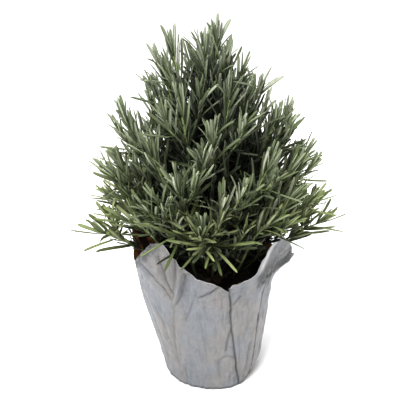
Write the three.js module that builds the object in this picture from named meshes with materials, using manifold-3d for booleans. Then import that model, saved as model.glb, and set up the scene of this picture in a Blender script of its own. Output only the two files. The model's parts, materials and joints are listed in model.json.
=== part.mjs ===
// Potted lavender: a bushy young plant in its nursery pot, wrapped in stiff grey paper.
//
// Millimetres, +Z up. The origin is the centre of the wrap's flat base and the front is -Y.
// An azimuth is the turn round +Z from the front, and grows towards the right (+X).

import * as THREE from 'three';
import Module from 'manifold-3d';
import { mergeVertices } from 'three/addons/utils/BufferGeometryUtils.js';

const { degToRad, lerp, smoothstep } = THREE.MathUtils;

// ---------------------------------------------------------------- driving dimensions

const CLEARANCE = 0.3; // gap between pieces that touch

// Paper wrap: a cone that leans a little to the left, with a loose collar above the pot.
const WRAP = {
  thickness: 0.9,
  baseRadius: 44.5,
  taper: 0.175, // growth of the radius for each millimetre of height
  shoulderHeight: 96, // the collar starts here, just below the pot's rim
  lean: 5.4, // shift of the collar's centre to the left
  edgeRound: 2.2, // rounding where the wall meets the floor
  pleatRise: 1.7, // how far a pleat stands out of the wall
  columns: 64,
  wallRows: 4,
  collarRows: 3,
};

// The rim of the collar: azimuth in degrees, height, radius round the collar's own centre.
// The four corners of the square sheet stand up, and the rim dips between them.
const RIM_OUTLINE = [
  [-90, 136, 64.6],
  [-80, 119, 65],
  [-71, 127, 65],
  [-54, 146, 64.5],
  [-48, 154.5, 63],
  [-38, 158, 61],
  [-35, 155, 60.5],
  [-25, 145, 60.5],
  [-16, 138.5, 60.5],
  [-8, 131, 61],
  [7, 127, 63],
  [18, 120, 65.5],
  [20, 123.5, 65.5],
  [32, 128.5, 66.3],
  [40, 130.6, 66.5],
  [46, 140, 67.2],
  [54, 152, 69],
  [59, 155, 70],
  [66, 155.4, 71],
  [79, 139, 76],
  [86, 126, 79],
  [92, 119, 79],
  [104, 110, 74],
  [112, 107, 70],
  [132, 128, 70],
  [150, 146, 73],
  [168, 126, 69],
  [188, 114, 67],
  [210, 118, 69],
  [230, 138, 74],
  [243, 146, 73],
  [258, 142, 68],
  [270, 136, 64.6],
];

// Folds where the gathered sheet lies over itself: the azimuth of each in degrees, and 1 where
// the sheet right of it is on top or -1 where the sheet left of it is.
const PLEATS = [
  [18, 1],
  [55, -1],
  [122, 1],
  [170, -1],
  [214, 1],
  [246, -1],
];
const PLEAT_WIDTH = 26; // degrees over which a pleat sinks back into the wall

// Nursery pot: thin plastic, with a stiffening band under the rim and holes in the floor.
const POT = {
  baseRadius: 38.5,
  topRadius: 51.3,
  rimRadius: 53,
  rimBand: 9,
  wall: 1.2,
  height: 98,
  holeRadius: 4.5,
  holeCircle: 27,
  holeCount: 6,
  segments: 40,
};
const POT_FLOOR_Z = WRAP.thickness + CLEARANCE;

// Potting soil: its surface is mounded a little towards the crown.
const SOIL = { edgeZ: 87.5, innerZ: 92.5, segments: 32 };

// Woody crown: a rooted foot and a low dome that the stems leave from.
const CROWN = {
  footZ: 72,
  footRadius: 10,
  neckRadius: 14,
  domeZ: 98,
  domeRadius: 18,
  domeRise: 15,
  segments: 28,
};

// Stems: the low ones stand in a ring round the dome, and lean out over the rim. The others
// have their seats in a spiral up the dome, and their tips in a like spiral up the bush.
const STEM = {
  spiralCount: 38,
  spiralTurn: 137.508, // degrees from one stem to the next
  firstTurn: 78, // azimuth of the first stem
  ringSine: 0.25, // sine of a seat's elevation on the dome
  lowSeatSine: 0.48,
  highSeatSine: 0.985,
  lowTip: 174, // height of the tips
  highTip: 318,
  crowding: 0.75, // 1 spreads the tips evenly over the height, less gathers them low down
  reach: 79, // radius of the lowest tips
  fullness: 1.9, // 1 is a straight cone, more is a rounder bush
  turnScatter: 7, // degrees by which a tip can stand aside of its seat
  reachScatter: 0.07,
  heightScatter: 6,
  topShift: -4, // the leaders stand a little to the left
  lowGrowth: 34, // elevation of a tip's growth, in degrees
  highGrowth: 88,
  uprighting: 0.7, // less than 1 turns the growth upright sooner
  leavingPull: 0.28, // how long a stem keeps its first direction, as a share of its span
  arrivingPull: 0.36, // and its last one
  rimClearance: 9, // height of a stem over the rim that it crosses
  rimReach: 8, // a stem this close to the rim crosses it
  bendLift: 4, // what a stem that is too low is raised by in its bend
  tipLift: 1, // and at its tip
  baseHalfWidth: 1.15,
  tipHalfWidth: 0.7,
};

// The low stems: azimuth, radius and height of the tip, and elevation of its growth.
const LOW_STEMS = [
  [-82, 94, 148, 24],
  [-53, 84, 178, 32],
  [-27, 66, 172, 24],
  [1, 62, 163, 14],
  [38, 74, 180, 34],
  [67, 84, 185, 34],
  [94, 94, 147, 22],
  [128, 92, 152, 20],
  [160, 90, 168, 30],
  [192, 94, 146, 18],
  [222, 90, 156, 25],
  [251, 86, 158, 22],
];

// The highest stems, which end the spiral: azimuth, radius and height of the tip, and growth.
const CREST_STEMS = [
  [272, 70, 244, 60],
  [82, 51, 244, 64],
  [189, 48, 258, 72],
  [331, 48, 267, 74],
  [92, 36, 268, 70],
  [265, 38, 280, 68],
  [22, 36, 278, 72],
  [156, 30, 284, 74],
  [268, 31, 303, 74],
  [50, 14, 294, 78],
  [205, 20, 296, 80],
  [330, 12, 305, 82],
  [148, 6, 309, 86],
];

// Leaves: narrow blades in crossed pairs.
const LEAF = {
  length: 40,
  tipLength: 29,
  halfWidth: 2.1,
  tipHalfWidth: 1.0,
  halfThickness: 0.5,
  belly: 0.56, // share of the length where a leaf is widest
  curl: -0.04, // how far the tip hangs, as a share of the length
  spacing: 15.5, // from one pair to the next along the stem
  leastPairs: 3,
  firstPair: 0.36, // share of a stem that is bare
  lastPair: 2.2, // where the last pair stands, in foot heights below the tip
  footHeight: 2.0, // height of a leaf's foot on the stem
  lowSpread: 62, // angle between a leaf and its stem, in degrees
  tipSpread: 27,
  spreadEasing: 1.6, // how long the low spread holds on the way up
  guardRadius: 2.35, // room kept round a leaf's middle line
  guardStart: 2, // the room is kept from here on, measured from the stem
  shrinks: [1, 0.84, 0.68], // lengths that are tried where a leaf has no room
  turns: [0, -9, 9, -18], // and changes of its spread, in degrees
  rimReach: 14, // a leaf this close to the rim must be above it
  rimClearance: 3.85,
  soilClearance: 14,
  greenBelow: 190, // stems that end lower than this are greener than the rest
};

const FINISH = {
  paper: { color: '#a9adb1', roughness: 0.55, metalness: 0.25 },
  plastic: { color: '#1c1d1e', roughness: 0.5, metalness: 0 },
  soil: { color: '#2b211a', roughness: 0.95, metalness: 0 },
  bark: { color: '#6b5a48', roughness: 0.9, metalness: 0 },
  leafHigh: { color: '#8fa190', roughness: 0.75, metalness: 0 },
  leafLow: { color: '#73904a', roughness: 0.7, metalness: 0 },
};

// ---------------------------------------------------------------- small helpers

/** The point at an azimuth (degrees), radius and height round a centre at (centreX, 0). */
function around(azimuth, radius, height, centreX = 0) {
  const angle = degToRad(azimuth);
  return new THREE.Vector3(centreX + radius * Math.sin(angle), -radius * Math.cos(angle), height);
}

/** The horizontal direction of an azimuth in degrees. */
function outwards(azimuth) {
  return around(azimuth, 1, 0);
}

/** The azimuth of a point round a centre at (centreX, 0), in degrees from -90 to 270. */
function azimuthOf(point, centreX = 0) {
  const azimuth = THREE.MathUtils.radToDeg(Math.atan2(point.x - centreX, -point.y));
  return azimuth < -90 ? azimuth + 360 : azimuth;
}

/** A repeatable number from 0 to 1 for one stem and one purpose. */
function chance(index, purpose) {
  const scatter = Math.sin(index * 12.9898 + purpose * 78.233) * 43758.5453;
  return scatter - Math.floor(scatter);
}

/** A closed mesh being put together from shared vertices and triangles. */
class Body {
  constructor() {
    this.positions = [];
    this.triangles = [];
  }

  /** Adds a vertex and returns its number. */
  point(vector) {
    this.positions.push(vector.x, vector.y, vector.z);
    return this.positions.length / 3 - 1;
  }

  /** Adds a four-sided face, its corners anticlockwise seen from outside. */
  quad(a, b, c, d) {
    this.triangles.push(a, b, c, a, c, d);
  }

  /** Adds a fan of triangles from one corner to a closed loop of corners. */
  fan(apex, loop) {
    loop.forEach((corner, k) => this.triangles.push(apex, corner, loop[(k + 1) % loop.length]));
  }

  /** Adds a band of faces between two closed loops, the second one further on. */
  band(lower, upper) {
    lower.forEach((corner, k) => {
      const next = (k + 1) % lower.length;
      this.quad(corner, lower[next], upper[next], upper[k]);
    });
  }

  geometry() {
    const result = new THREE.BufferGeometry();
    result.setAttribute('position', new THREE.Float32BufferAttribute(this.positions, 3));
    result.setIndex(this.triangles);
    return result;
  }
}

/** A named mesh with its own material. */
function piece(name, geometry, finish) {
  geometry.computeVertexNormals();
  const mesh = new THREE.Mesh(geometry, new THREE.MeshStandardMaterial(finish));
  mesh.name = name;
  return mesh;
}

// ---------------------------------------------------------------- paper wrap

/** Height and radius of the rim at an azimuth. */
function rimAt(azimuth) {
  const after = RIM_OUTLINE.findIndex(([mark]) => mark > azimuth);
  const end = after > 0 ? after : RIM_OUTLINE.length - 1;
  const [a0, z0, r0] = RIM_OUTLINE[end - 1];
  const [a1, z1, r1] = RIM_OUTLINE[end];
  const share = (azimuth - a0) / (a1 - a0);
  return { height: lerp(z0, z1, share), radius: lerp(r0, r1, share) };
}

/** How far the pleats push the wall out at an azimuth: a sharp fold that sinks back slowly. */
function pleatAt(azimuth) {
  return PLEATS.reduce((rise, [mark, way]) => {
    const past = (azimuth - mark) * way;
    const sunk = past < 0 || past > PLEAT_WIDTH ? 0 : 1 - past / PLEAT_WIDTH;
    return Math.max(rise, sunk * WRAP.pleatRise);
  }, 0);
}

/** Shift of the wrap's centre line at a height. */
function wrapCentre(height) {
  return -WRAP.lean * smoothstep(height, 0, WRAP.shoulderHeight);
}

/** A point on the outer face of the wrap: row 0 is the floor's edge, the last one the rim. */
function wrapPoint(azimuth, row) {
  const rows = WRAP.wallRows + WRAP.collarRows;
  if (row === 0) {
    return around(azimuth, WRAP.baseRadius - WRAP.edgeRound, 0);
  }
  if (row <= WRAP.wallRows) {
    const climb = (row - 1) / (WRAP.wallRows - 1);
    const height = lerp(WRAP.edgeRound, WRAP.shoulderHeight, climb);
    const radius = WRAP.baseRadius + WRAP.taper * height + pleatAt(azimuth) * climb;
    return around(azimuth, radius, height, wrapCentre(height));
  }
  const climb = (row - WRAP.wallRows) / (rows - WRAP.wallRows);
  const rim = rimAt(azimuth);
  const shoulderRadius = WRAP.baseRadius + WRAP.taper * WRAP.shoulderHeight + pleatAt(azimuth);
  const radius = lerp(shoulderRadius, rim.radius, climb) + pleatAt(azimuth) * climb;
  const height = lerp(WRAP.shoulderHeight, rim.height, climb);
  return around(azimuth, radius, height, -WRAP.lean);
}

/** The matching point on the inner face, one paper thickness further in. */
function wrapInnerPoint(azimuth, row) {
  const outer = wrapPoint(azimuth, row);
  const inwards = outwards(azimuth).multiplyScalar(-WRAP.thickness);
  if (row === 0) {
    inwards.z = WRAP.thickness;
  }
  return outer.add(inwards);
}

function makeWrap() {
  const body = new Body();
  const azimuths = Array.from({ length: WRAP.columns }, (_, k) => -90 + (k * 360) / WRAP.columns);
  const rows = Array.from({ length: WRAP.wallRows + WRAP.collarRows + 1 }, (_, row) => row);
  const outer = rows.map((row) => azimuths.map((azimuth) => body.point(wrapPoint(azimuth, row))));
  const inner = rows.map((row) => azimuths.map((azimuth) => body.point(wrapInnerPoint(azimuth, row))));
  rows.slice(1).forEach((row) => {
    body.band(outer[row - 1], outer[row]);
    body.band(inner[row], inner[row - 1]);
  });
  body.band(outer.at(-1), inner.at(-1));
  body.fan(body.point(new THREE.Vector3(0, 0, 0)), [...outer[0]].reverse());
  body.fan(body.point(new THREE.Vector3(0, 0, WRAP.thickness)), inner[0]);
  return piece('pot_wrap', body.geometry(), FINISH.paper);
}

// ---------------------------------------------------------------- pot, soil and crown

/** Turns a closed geometry into a solid that can be joined or cut. */
function solidFrom(wasm, geometry) {
  geometry.deleteAttribute('normal');
  geometry.deleteAttribute('uv');
  const merged = mergeVertices(geometry, 1e-4);
  return new wasm.Manifold(
    new wasm.Mesh({
      numProp: 3,
      vertProperties: new Float32Array(merged.attributes.position.array),
      triVerts: new Uint32Array(merged.index.array),
    }),
  );
}

/** The geometry of a solid. */
function geometryOf(solid) {
  const mesh = solid.getMesh();
  const result = new THREE.BufferGeometry();
  result.setAttribute('position', new THREE.BufferAttribute(mesh.vertProperties, 3));
  result.setIndex(new THREE.BufferAttribute(mesh.triVerts, 1));
  return result;
}

/** A lathed body: profile points are [radius, height], from the axis anticlockwise to it. */
function lathed(profile, segments) {
  const points = profile.map(([radius, height]) => new THREE.Vector2(radius, height));
  return new THREE.LatheGeometry(points, segments).rotateX(Math.PI / 2);
}

/** Outer radius of the pot's wall at a height above its own base. */
function potRadius(height) {
  return lerp(POT.baseRadius, POT.topRadius, height / POT.height);
}

function makePot(wasm) {
  const bandBase = POT.height - POT.rimBand;
  const shell = lathed(
    [
      [0, 0],
      [POT.baseRadius, 0],
      [potRadius(bandBase), bandBase],
      [POT.rimRadius, bandBase],
      [POT.rimRadius, POT.height],
      [potRadius(POT.height) - POT.wall, POT.height],
      [potRadius(POT.wall) - POT.wall, POT.wall],
      [0, POT.wall],
    ],
    POT.segments,
  );
  let pot = solidFrom(wasm, shell);
  for (let hole = 0; hole < POT.holeCount; hole += 1) {
    const drill = new THREE.CylinderGeometry(POT.holeRadius, POT.holeRadius, 4 * POT.wall, 12);
    const centre = around((hole * 360) / POT.holeCount, POT.holeCircle, POT.wall / 2);
    drill.rotateX(Math.PI / 2).translate(centre.x, centre.y, centre.z);
    pot = pot.subtract(solidFrom(wasm, drill));
  }
  const mesh = piece('nursery_pot', geometryOf(pot), FINISH.plastic);
  mesh.position.z = POT_FLOOR_Z;
  return mesh;
}

function makeSoil() {
  const bottom = POT_FLOOR_Z + POT.wall + CLEARANCE;
  const room = POT.wall + CLEARANCE + 0.1;
  const edge = (height) => potRadius(height - POT_FLOOR_Z) - room;
  const wellRadius = CROWN.neckRadius + CLEARANCE;
  const geometry = lathed(
    [
      [0, bottom],
      [edge(bottom), bottom],
      [edge(SOIL.edgeZ), SOIL.edgeZ],
      [lerp(wellRadius, edge(SOIL.edgeZ), 0.5), lerp(SOIL.innerZ, SOIL.edgeZ, 0.35)],
      [wellRadius, SOIL.innerZ],
      [CROWN.footRadius + CLEARANCE, CROWN.footZ - CLEARANCE],
      [0, CROWN.footZ - CLEARANCE],
    ],
    SOIL.segments,
  );
  return piece('potting_soil', geometry, FINISH.soil);
}

/** A point on the crown's dome, and the direction that faces away from it there. */
function domeSeat(azimuth, sine) {
  const cosine = Math.sqrt(1 - sine * sine);
  const point = around(azimuth, CROWN.domeRadius * cosine, CROWN.domeZ + CROWN.domeRise * sine);
  const facing = around(azimuth, cosine / CROWN.domeRadius, sine / CROWN.domeRise).normalize();
  return { point, facing };
}

function makeCrown() {
  const domeSteps = 6;
  const dome = Array.from({ length: domeSteps + 1 }, (_, step) => {
    const angle = (step / domeSteps) * (Math.PI / 2);
    return [CROWN.domeRadius * Math.cos(angle), CROWN.domeZ + CROWN.domeRise * Math.sin(angle)];
  });
  dome.at(-1)[0] = 0;
  const profile = [
    [0, CROWN.footZ],
    [CROWN.footRadius, CROWN.footZ],
    [CROWN.neckRadius, SOIL.innerZ],
    ...dome,
  ];
  return piece('woody_crown', lathed(profile, CROWN.segments), FINISH.bark);
}

// ---------------------------------------------------------------- stems and leaves

/** The seat and the tip of one of the low stems. */
function lowStem([azimuth, reach, height, growth]) {
  return { azimuth, sine: STEM.ringSine, growth, tip: around(azimuth, reach, height) };
}

/** A repeatable number from -most to most for one stem and one purpose. */
function scatter(most, index, purpose) {
  return lerp(-most, most, chance(index, purpose));
}

/** The seat and the tip of one of the stems in the spiral. */
function spiralStem(index) {
  const share = (index + 0.5) / STEM.spiralCount;
  const azimuth = index * STEM.spiralTurn + STEM.firstTurn;
  const sine = lerp(STEM.lowSeatSine, STEM.highSeatSine, share);
  const crest = CREST_STEMS[index - (STEM.spiralCount - CREST_STEMS.length)];
  if (crest) {
    const [tipAzimuth, reach, height, growth] = crest;
    return { azimuth, sine, growth, tip: around(tipAzimuth, reach, height) };
  }
  const rise = 1 - (1 - share) ** STEM.crowding;
  const tipAzimuth = azimuth + scatter(STEM.turnScatter, index, 1);
  const reach = STEM.reach * (1 - rise ** STEM.fullness) * (1 + scatter(STEM.reachScatter, index, 2));
  const height = lerp(STEM.lowTip, STEM.highTip, rise) + scatter(STEM.heightScatter, index, 3);
  const growth = lerp(STEM.lowGrowth, STEM.highGrowth, rise ** STEM.uprighting);
  return { azimuth, sine, growth, tip: around(tipAzimuth, reach, height, STEM.topShift * rise) };
}

/** Lowest clearance of a curve over the rim where it crosses it. */
function clearanceOverRim(curve) {
  const steps = 24;
  return curve.getPoints(steps).reduce((least, point) => {
    const rim = rimAt(azimuthOf(point, -WRAP.lean));
    const radius = Math.hypot(point.x + WRAP.lean, point.y);
    const crosses = Math.abs(radius - rim.radius) < STEM.rimReach;
    return crosses ? Math.min(least, point.z - rim.height) : least;
  }, Infinity);
}

/** The middle line of a stem, from its seat on the dome to its tip. */
function stemPath({ azimuth, sine, growth, tip }) {
  const seat = domeSeat(azimuth, sine);
  const start = seat.point.addScaledVector(seat.facing, CLEARANCE);
  const rim = rimAt(azimuthOf(tip, -WRAP.lean));
  const end = tip.clone().setZ(Math.max(tip.z, rim.height + STEM.rimClearance));
  const angle = degToRad(growth);
  const heading = outwards(azimuthOf(tip)).multiplyScalar(Math.cos(angle)).setZ(Math.sin(angle));
  const span = start.distanceTo(end);
  const leaving = start.clone().addScaledVector(seat.facing, span * STEM.leavingPull);
  const arriving = end.clone().addScaledVector(heading, -span * STEM.arrivingPull);
  let curve = new THREE.CubicBezierCurve3(start, leaving, arriving, end);
  while (clearanceOverRim(curve) < STEM.rimClearance) {
    arriving.z += STEM.bendLift;
    end.z += STEM.tipLift;
    curve = new THREE.CubicBezierCurve3(start, leaving, arriving, end);
  }
  return curve;
}

/** Everything that a new leaf must stay clear of: round bars, each a line and a radius. */
class Neighbours {
  constructor() {
    this.bars = [];
  }

  add(owner, line, radius) {
    this.bars.push({ owner, line, radius });
  }

  /** True if a round bar is clear of all others, apart from those of its own stem. */
  clear(owner, line, radius) {
    return this.bars.every((bar) => {
      const room = radius + bar.radius;
      return bar.owner === owner || bar.line.distanceSqToLine3(line) > room * room;
    });
  }
}

/** True if a leaf's middle line keeps away from the wrap and the soil. */
function clearOfPot(line) {
  const steps = 14;
  for (let step = 0; step <= steps; step += 1) {
    const point = line.at(step / steps, new THREE.Vector3());
    const radius = Math.hypot(point.x + WRAP.lean, point.y);
    const rim = rimAt(azimuthOf(point, -WRAP.lean));
    const nearWall = Math.abs(radius - rim.radius) < LEAF.rimReach;
    const belowRim = point.z < rim.height + LEAF.rimClearance;
    const nearSoil = point.z < SOIL.innerZ + LEAF.soilClearance;
    if ((nearWall && belowRim) || nearSoil) {
      return false;
    }
  }
  return true;
}

/** The frame of a stem at a share of its length: along it, sideways and across. */
function stemFrame(curve, share, roll) {
  const along = curve.getTangentAt(share);
  const side = new THREE.Vector3(-along.y, along.x, 0);
  side.lengthSq() > 1e-6 ? side.normalize() : side.set(1, 0, 0);
  side.applyAxisAngle(along, roll);
  const across = new THREE.Vector3().crossVectors(along, side);
  return { centre: curve.getPointAt(share), along, side, across };
}

/** Adds the four corners of a square stem section and returns their numbers. */
function stemSection(body, frame, halfWidth) {
  const corners = [[-1, -1], [1, -1], [1, 1], [-1, 1]];
  return corners.map(([s, a]) => {
    const corner = frame.centre.clone();
    corner.addScaledVector(frame.side, s * halfWidth).addScaledVector(frame.across, a * halfWidth);
    return body.point(corner);
  });
}

/** Adds a leaf on one face of the stem, given the four corners of its foot. */
function addLeaf(body, foot, leaf) {
  const { root, direction, width, upper, length } = leaf;
  const belly = root.clone().addScaledVector(direction, length * LEAF.belly);
  const waist = [[-1, -1], [1, -1], [1, 1], [-1, 1]].map(([w, u]) => {
    const corner = belly.clone().addScaledVector(width, w * LEAF.halfWidth);
    return body.point(corner.addScaledVector(upper, u * LEAF.halfThickness));
  });
  const end = root.clone().addScaledVector(direction, length).addScaledVector(upper, leaf.curl);
  const left = body.point(end.clone().addScaledVector(width, -LEAF.tipHalfWidth));
  const right = body.point(end.clone().addScaledVector(width, LEAF.tipHalfWidth));
  body.band(foot, waist);
  body.quad(waist[0], waist[1], right, left);
  body.quad(waist[2], waist[3], left, right);
  body.triangles.push(waist[1], waist[2], right, waist[3], waist[0], left);
}

/** The first way a leaf can grow from its foot and be clear of its neighbours, or null. */
function roomyLeaf(owner, root, face, frame, spread, length, neighbours) {
  for (const shrink of LEAF.shrinks) {
    for (const turn of LEAF.turns) {
      const angle = degToRad(spread + turn);
      const direction = face.clone().multiplyScalar(Math.sin(angle));
      direction.addScaledVector(frame.along, Math.cos(angle));
      const upper = frame.along.clone().multiplyScalar(Math.sin(angle));
      upper.addScaledVector(face, -Math.cos(angle));
      const reach = length * shrink;
      const from = root.clone().addScaledVector(direction, LEAF.guardStart);
      const line = new THREE.Line3(from, root.clone().addScaledVector(direction, reach));
      if (clearOfPot(line) && neighbours.clear(owner, line, LEAF.guardRadius)) {
        const width = new THREE.Vector3().crossVectors(upper, direction);
        return { root, direction, width, upper, length: reach, curl: LEAF.curl * reach, line };
      }
    }
  }
  return null;
}

/** One stem with its leaves, as a single closed body. */
function makeStem(curve, index, neighbours) {
  const length = curve.getLength();
  const roll = degToRad(chance(index, 4) * 90);
  const leafy = length * (1 - LEAF.firstPair);
  const pairs = Math.max(LEAF.leastPairs, Math.floor(leafy / LEAF.spacing));
  const footShare = LEAF.footHeight / length;
  const body = new Body();
  const widthAt = (share) => lerp(STEM.baseHalfWidth, STEM.tipHalfWidth, share);
  const sectionAt = (share) => stemSection(body, stemFrame(curve, share, roll), widthAt(share));

  let section = sectionAt(0);
  body.quad(...[...section].reverse());
  for (let pair = 0; pair < pairs; pair += 1) {
    const climb = pair / (pairs - 1);
    const start = lerp(LEAF.firstPair, 1 - LEAF.lastPair * footShare, climb);
    const lower = sectionAt(start);
    const upper = sectionAt(start + footShare);
    body.band(section, lower);
    const frame = stemFrame(curve, start + footShare / 2, roll);
    const spread = lerp(LEAF.lowSpread, LEAF.tipSpread, climb ** LEAF.spreadEasing);
    const leafLength = lerp(LEAF.length, LEAF.tipLength, climb ** 2);
    for (let side = 0; side < 4; side += 1) {
      const next = (side + 1) % 4;
      const foot = [lower[side], lower[next], upper[next], upper[side]];
      const face = (side % 2 ? frame.side : frame.across).clone();
      face.multiplyScalar(side === 1 || side === 2 ? 1 : -1);
      const root = frame.centre.clone().addScaledVector(face, widthAt(start));
      const bears = side % 2 === pair % 2;
      const leaf = bears && roomyLeaf(index, root, face, frame, spread, leafLength, neighbours);
      if (leaf) {
        addLeaf(body, foot, leaf);
        neighbours.add(index, leaf.line, LEAF.guardRadius);
      } else {
        body.quad(...foot);
      }
    }
    section = upper;
  }
  const end = sectionAt(1);
  body.band(section, end);
  body.quad(...end);
  const finish = curve.v3.z > LEAF.greenBelow ? FINISH.leafHigh : FINISH.leafLow;
  return piece(`stem_${String(index + 1).padStart(2, '0')}`, body.geometry(), finish);
}

/** All stems. The middle lines of all are known before the first leaf grows. */
function makeStems() {
  const spiral = Array.from({ length: STEM.spiralCount }, (_, index) => spiralStem(index));
  const curves = [...LOW_STEMS.map(lowStem), ...spiral].map(stemPath);
  const neighbours = new Neighbours();
  const lengths = 10;
  const guardRadius = STEM.baseHalfWidth * 1.3;
  curves.forEach((curve, index) => {
    const points = curve.getSpacedPoints(lengths);
    points.slice(1).forEach((point, k) => {
      neighbours.add(index, new THREE.Line3(points[k], point), guardRadius);
    });
  });
  return curves.map((curve, index) => makeStem(curve, index, neighbours));
}

// ---------------------------------------------------------------- the whole object

const wasm = await Module();
wasm.setup();

const lavender = new THREE.Group();
lavender.add(makeWrap(), makePot(wasm), makeSoil(), makeCrown(), ...makeStems());

export default lavender;
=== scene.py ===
"""Potted lavender: narrow grey-green leaves on square stems, in a pot wrapped in stiff paper.

Metres, +Z up, the front is -Y. An azimuth is a turn round +Z from the front, in degrees, and
grows towards the right (+X).
"""
import json
import logging
import math
import random
from dataclasses import dataclass, field, replace
from enum import Enum
from itertools import combinations
from typing import Callable, Iterable, Optional, Sequence, Union

import bpy
import numpy as np
from mathutils import Matrix, Vector, noise

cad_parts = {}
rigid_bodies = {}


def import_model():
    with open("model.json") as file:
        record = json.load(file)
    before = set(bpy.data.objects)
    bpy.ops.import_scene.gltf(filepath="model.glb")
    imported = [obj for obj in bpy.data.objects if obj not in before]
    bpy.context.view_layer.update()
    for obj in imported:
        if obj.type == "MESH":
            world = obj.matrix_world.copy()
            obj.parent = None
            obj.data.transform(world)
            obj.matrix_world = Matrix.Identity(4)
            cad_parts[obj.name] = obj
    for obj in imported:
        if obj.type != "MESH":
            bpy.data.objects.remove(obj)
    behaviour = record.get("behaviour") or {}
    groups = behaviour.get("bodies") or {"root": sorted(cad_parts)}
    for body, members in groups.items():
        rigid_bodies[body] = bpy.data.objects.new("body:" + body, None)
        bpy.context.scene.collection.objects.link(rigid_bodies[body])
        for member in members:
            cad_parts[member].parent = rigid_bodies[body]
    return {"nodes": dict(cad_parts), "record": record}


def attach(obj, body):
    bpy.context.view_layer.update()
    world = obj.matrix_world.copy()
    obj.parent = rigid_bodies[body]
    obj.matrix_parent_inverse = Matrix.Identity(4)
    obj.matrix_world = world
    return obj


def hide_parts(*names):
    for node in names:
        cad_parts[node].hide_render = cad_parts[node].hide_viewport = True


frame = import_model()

LOG = logging.getLogger("lavender")
MM = 0.001
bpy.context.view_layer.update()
HASH = (12.9898, 78.233, 43758.5453)  # factors that make a sine look random

Pair = tuple[float, float]
Triple = tuple[float, float, float]
Four = tuple[float, float, float, float]
Colour = Triple
Place = Triple
Line = list[Vector]
Marks = tuple[Pair, ...]
Piece = bpy.types.Object
Dress = bpy.types.Material


# ------- numbers and directions


def lerp(first: float, second: float, share: float) -> float:
    """The value a share of the way from the first to the second."""
    return first + (second - first) * share


def smooth(value: float, low: float, high: float) -> float:
    """0 below low, 1 above high, and an even S between them."""
    share = min(max((value - low) / (high - low), 0.0), 1.0)
    return share * share * (3.0 - 2.0 * share)


def around(azimuth: float, radius: float, height: float, centre_x: float = 0.0) -> Vector:
    """The point at an azimuth, radius and height round a centre at (centre_x, 0)."""
    angle = math.radians(azimuth)
    return Vector((centre_x + radius * math.sin(angle), -radius * math.cos(angle), height))


def azimuth_of(point: Vector, centre_x: float = 0.0) -> float:
    """The azimuth of a point round a centre at (centre_x, 0), from -90 to 270."""
    azimuth = math.degrees(math.atan2(point.x - centre_x, -point.y))
    return azimuth + 360.0 if azimuth < -90.0 else azimuth


def scatter(most: float, index: int, purpose: int) -> float:
    """A repeatable number from -most to most for one stem and one purpose."""
    wave = math.sin(index * HASH[0] + purpose * HASH[1]) * HASH[2]
    return lerp(-most, most, wave - math.floor(wave))


def rising(values: np.ndarray, low: float, high: float) -> np.ndarray:
    """0 up to low, 1 from high on, and evenly between them."""
    return np.clip((values - low) / (high - low), 0.0, 1.0)


def fading(distances: np.ndarray, width: float) -> np.ndarray:
    """1 at a distance of 0, 0 from the width on, and evenly between them."""
    return np.clip(1.0 - distances / width, 0.0, 1.0)


# ------- node trees


def operator(operation: str, turned: bool = False) -> Callable[["Field", "Feed"], "Field"]:
    """Makes one of the arithmetic operators of Field.

    Args:
        operation: the Math node's operation.
        turned: whether the other value comes first.

    Returns:
        The operator, as a method.
    """
    def work_out(value: "Field", other: "Feed") -> "Field":
        """The result for two values."""
        return value.nodes.math(operation, *((other, value) if turned else (value, other)))
    return work_out


@dataclass(frozen=True)
class Field:
    """A value that flows out of a node socket, with the usual arithmetic."""

    nodes: "Nodes"
    socket: bpy.types.NodeSocket

    __add__ = __radd__ = operator("ADD")
    __sub__ = operator("SUBTRACT")
    __rsub__ = operator("SUBTRACT", turned=True)
    __mul__ = __rmul__ = operator("MULTIPLY")
    __truediv__ = operator("DIVIDE")
    __pow__ = operator("POWER")


Feed = Union[Field, float, int, bool, str, tuple, None, bpy.types.ID]


@dataclass(frozen=True)
class Step:
    """A node in a tree, whose outputs are read by name."""

    nodes: "Nodes"
    node: bpy.types.Node

    def __getitem__(self, name: str) -> Field:
        """The output with that identifier or name."""
        return Field(self.nodes, find_socket(self.node.outputs, name))


def find_socket(sockets: Iterable[bpy.types.NodeSocket], name: str) -> bpy.types.NodeSocket:
    """Finds a socket of a node.

    Args:
        sockets: the inputs or the outputs of the node.
        name: a socket's identifier, or its name with _ for each space.

    Returns:
        The socket with that identifier, or else the first usable one with that name.
    """
    plain = name.replace("_", " ").lower()
    usable = [socket for socket in sockets if socket.enabled]
    for socket in usable:
        if socket.identifier == name:
            return socket
    for socket in usable:
        if socket.name.lower() == plain:
            return socket
    raise KeyError(name)


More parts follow.
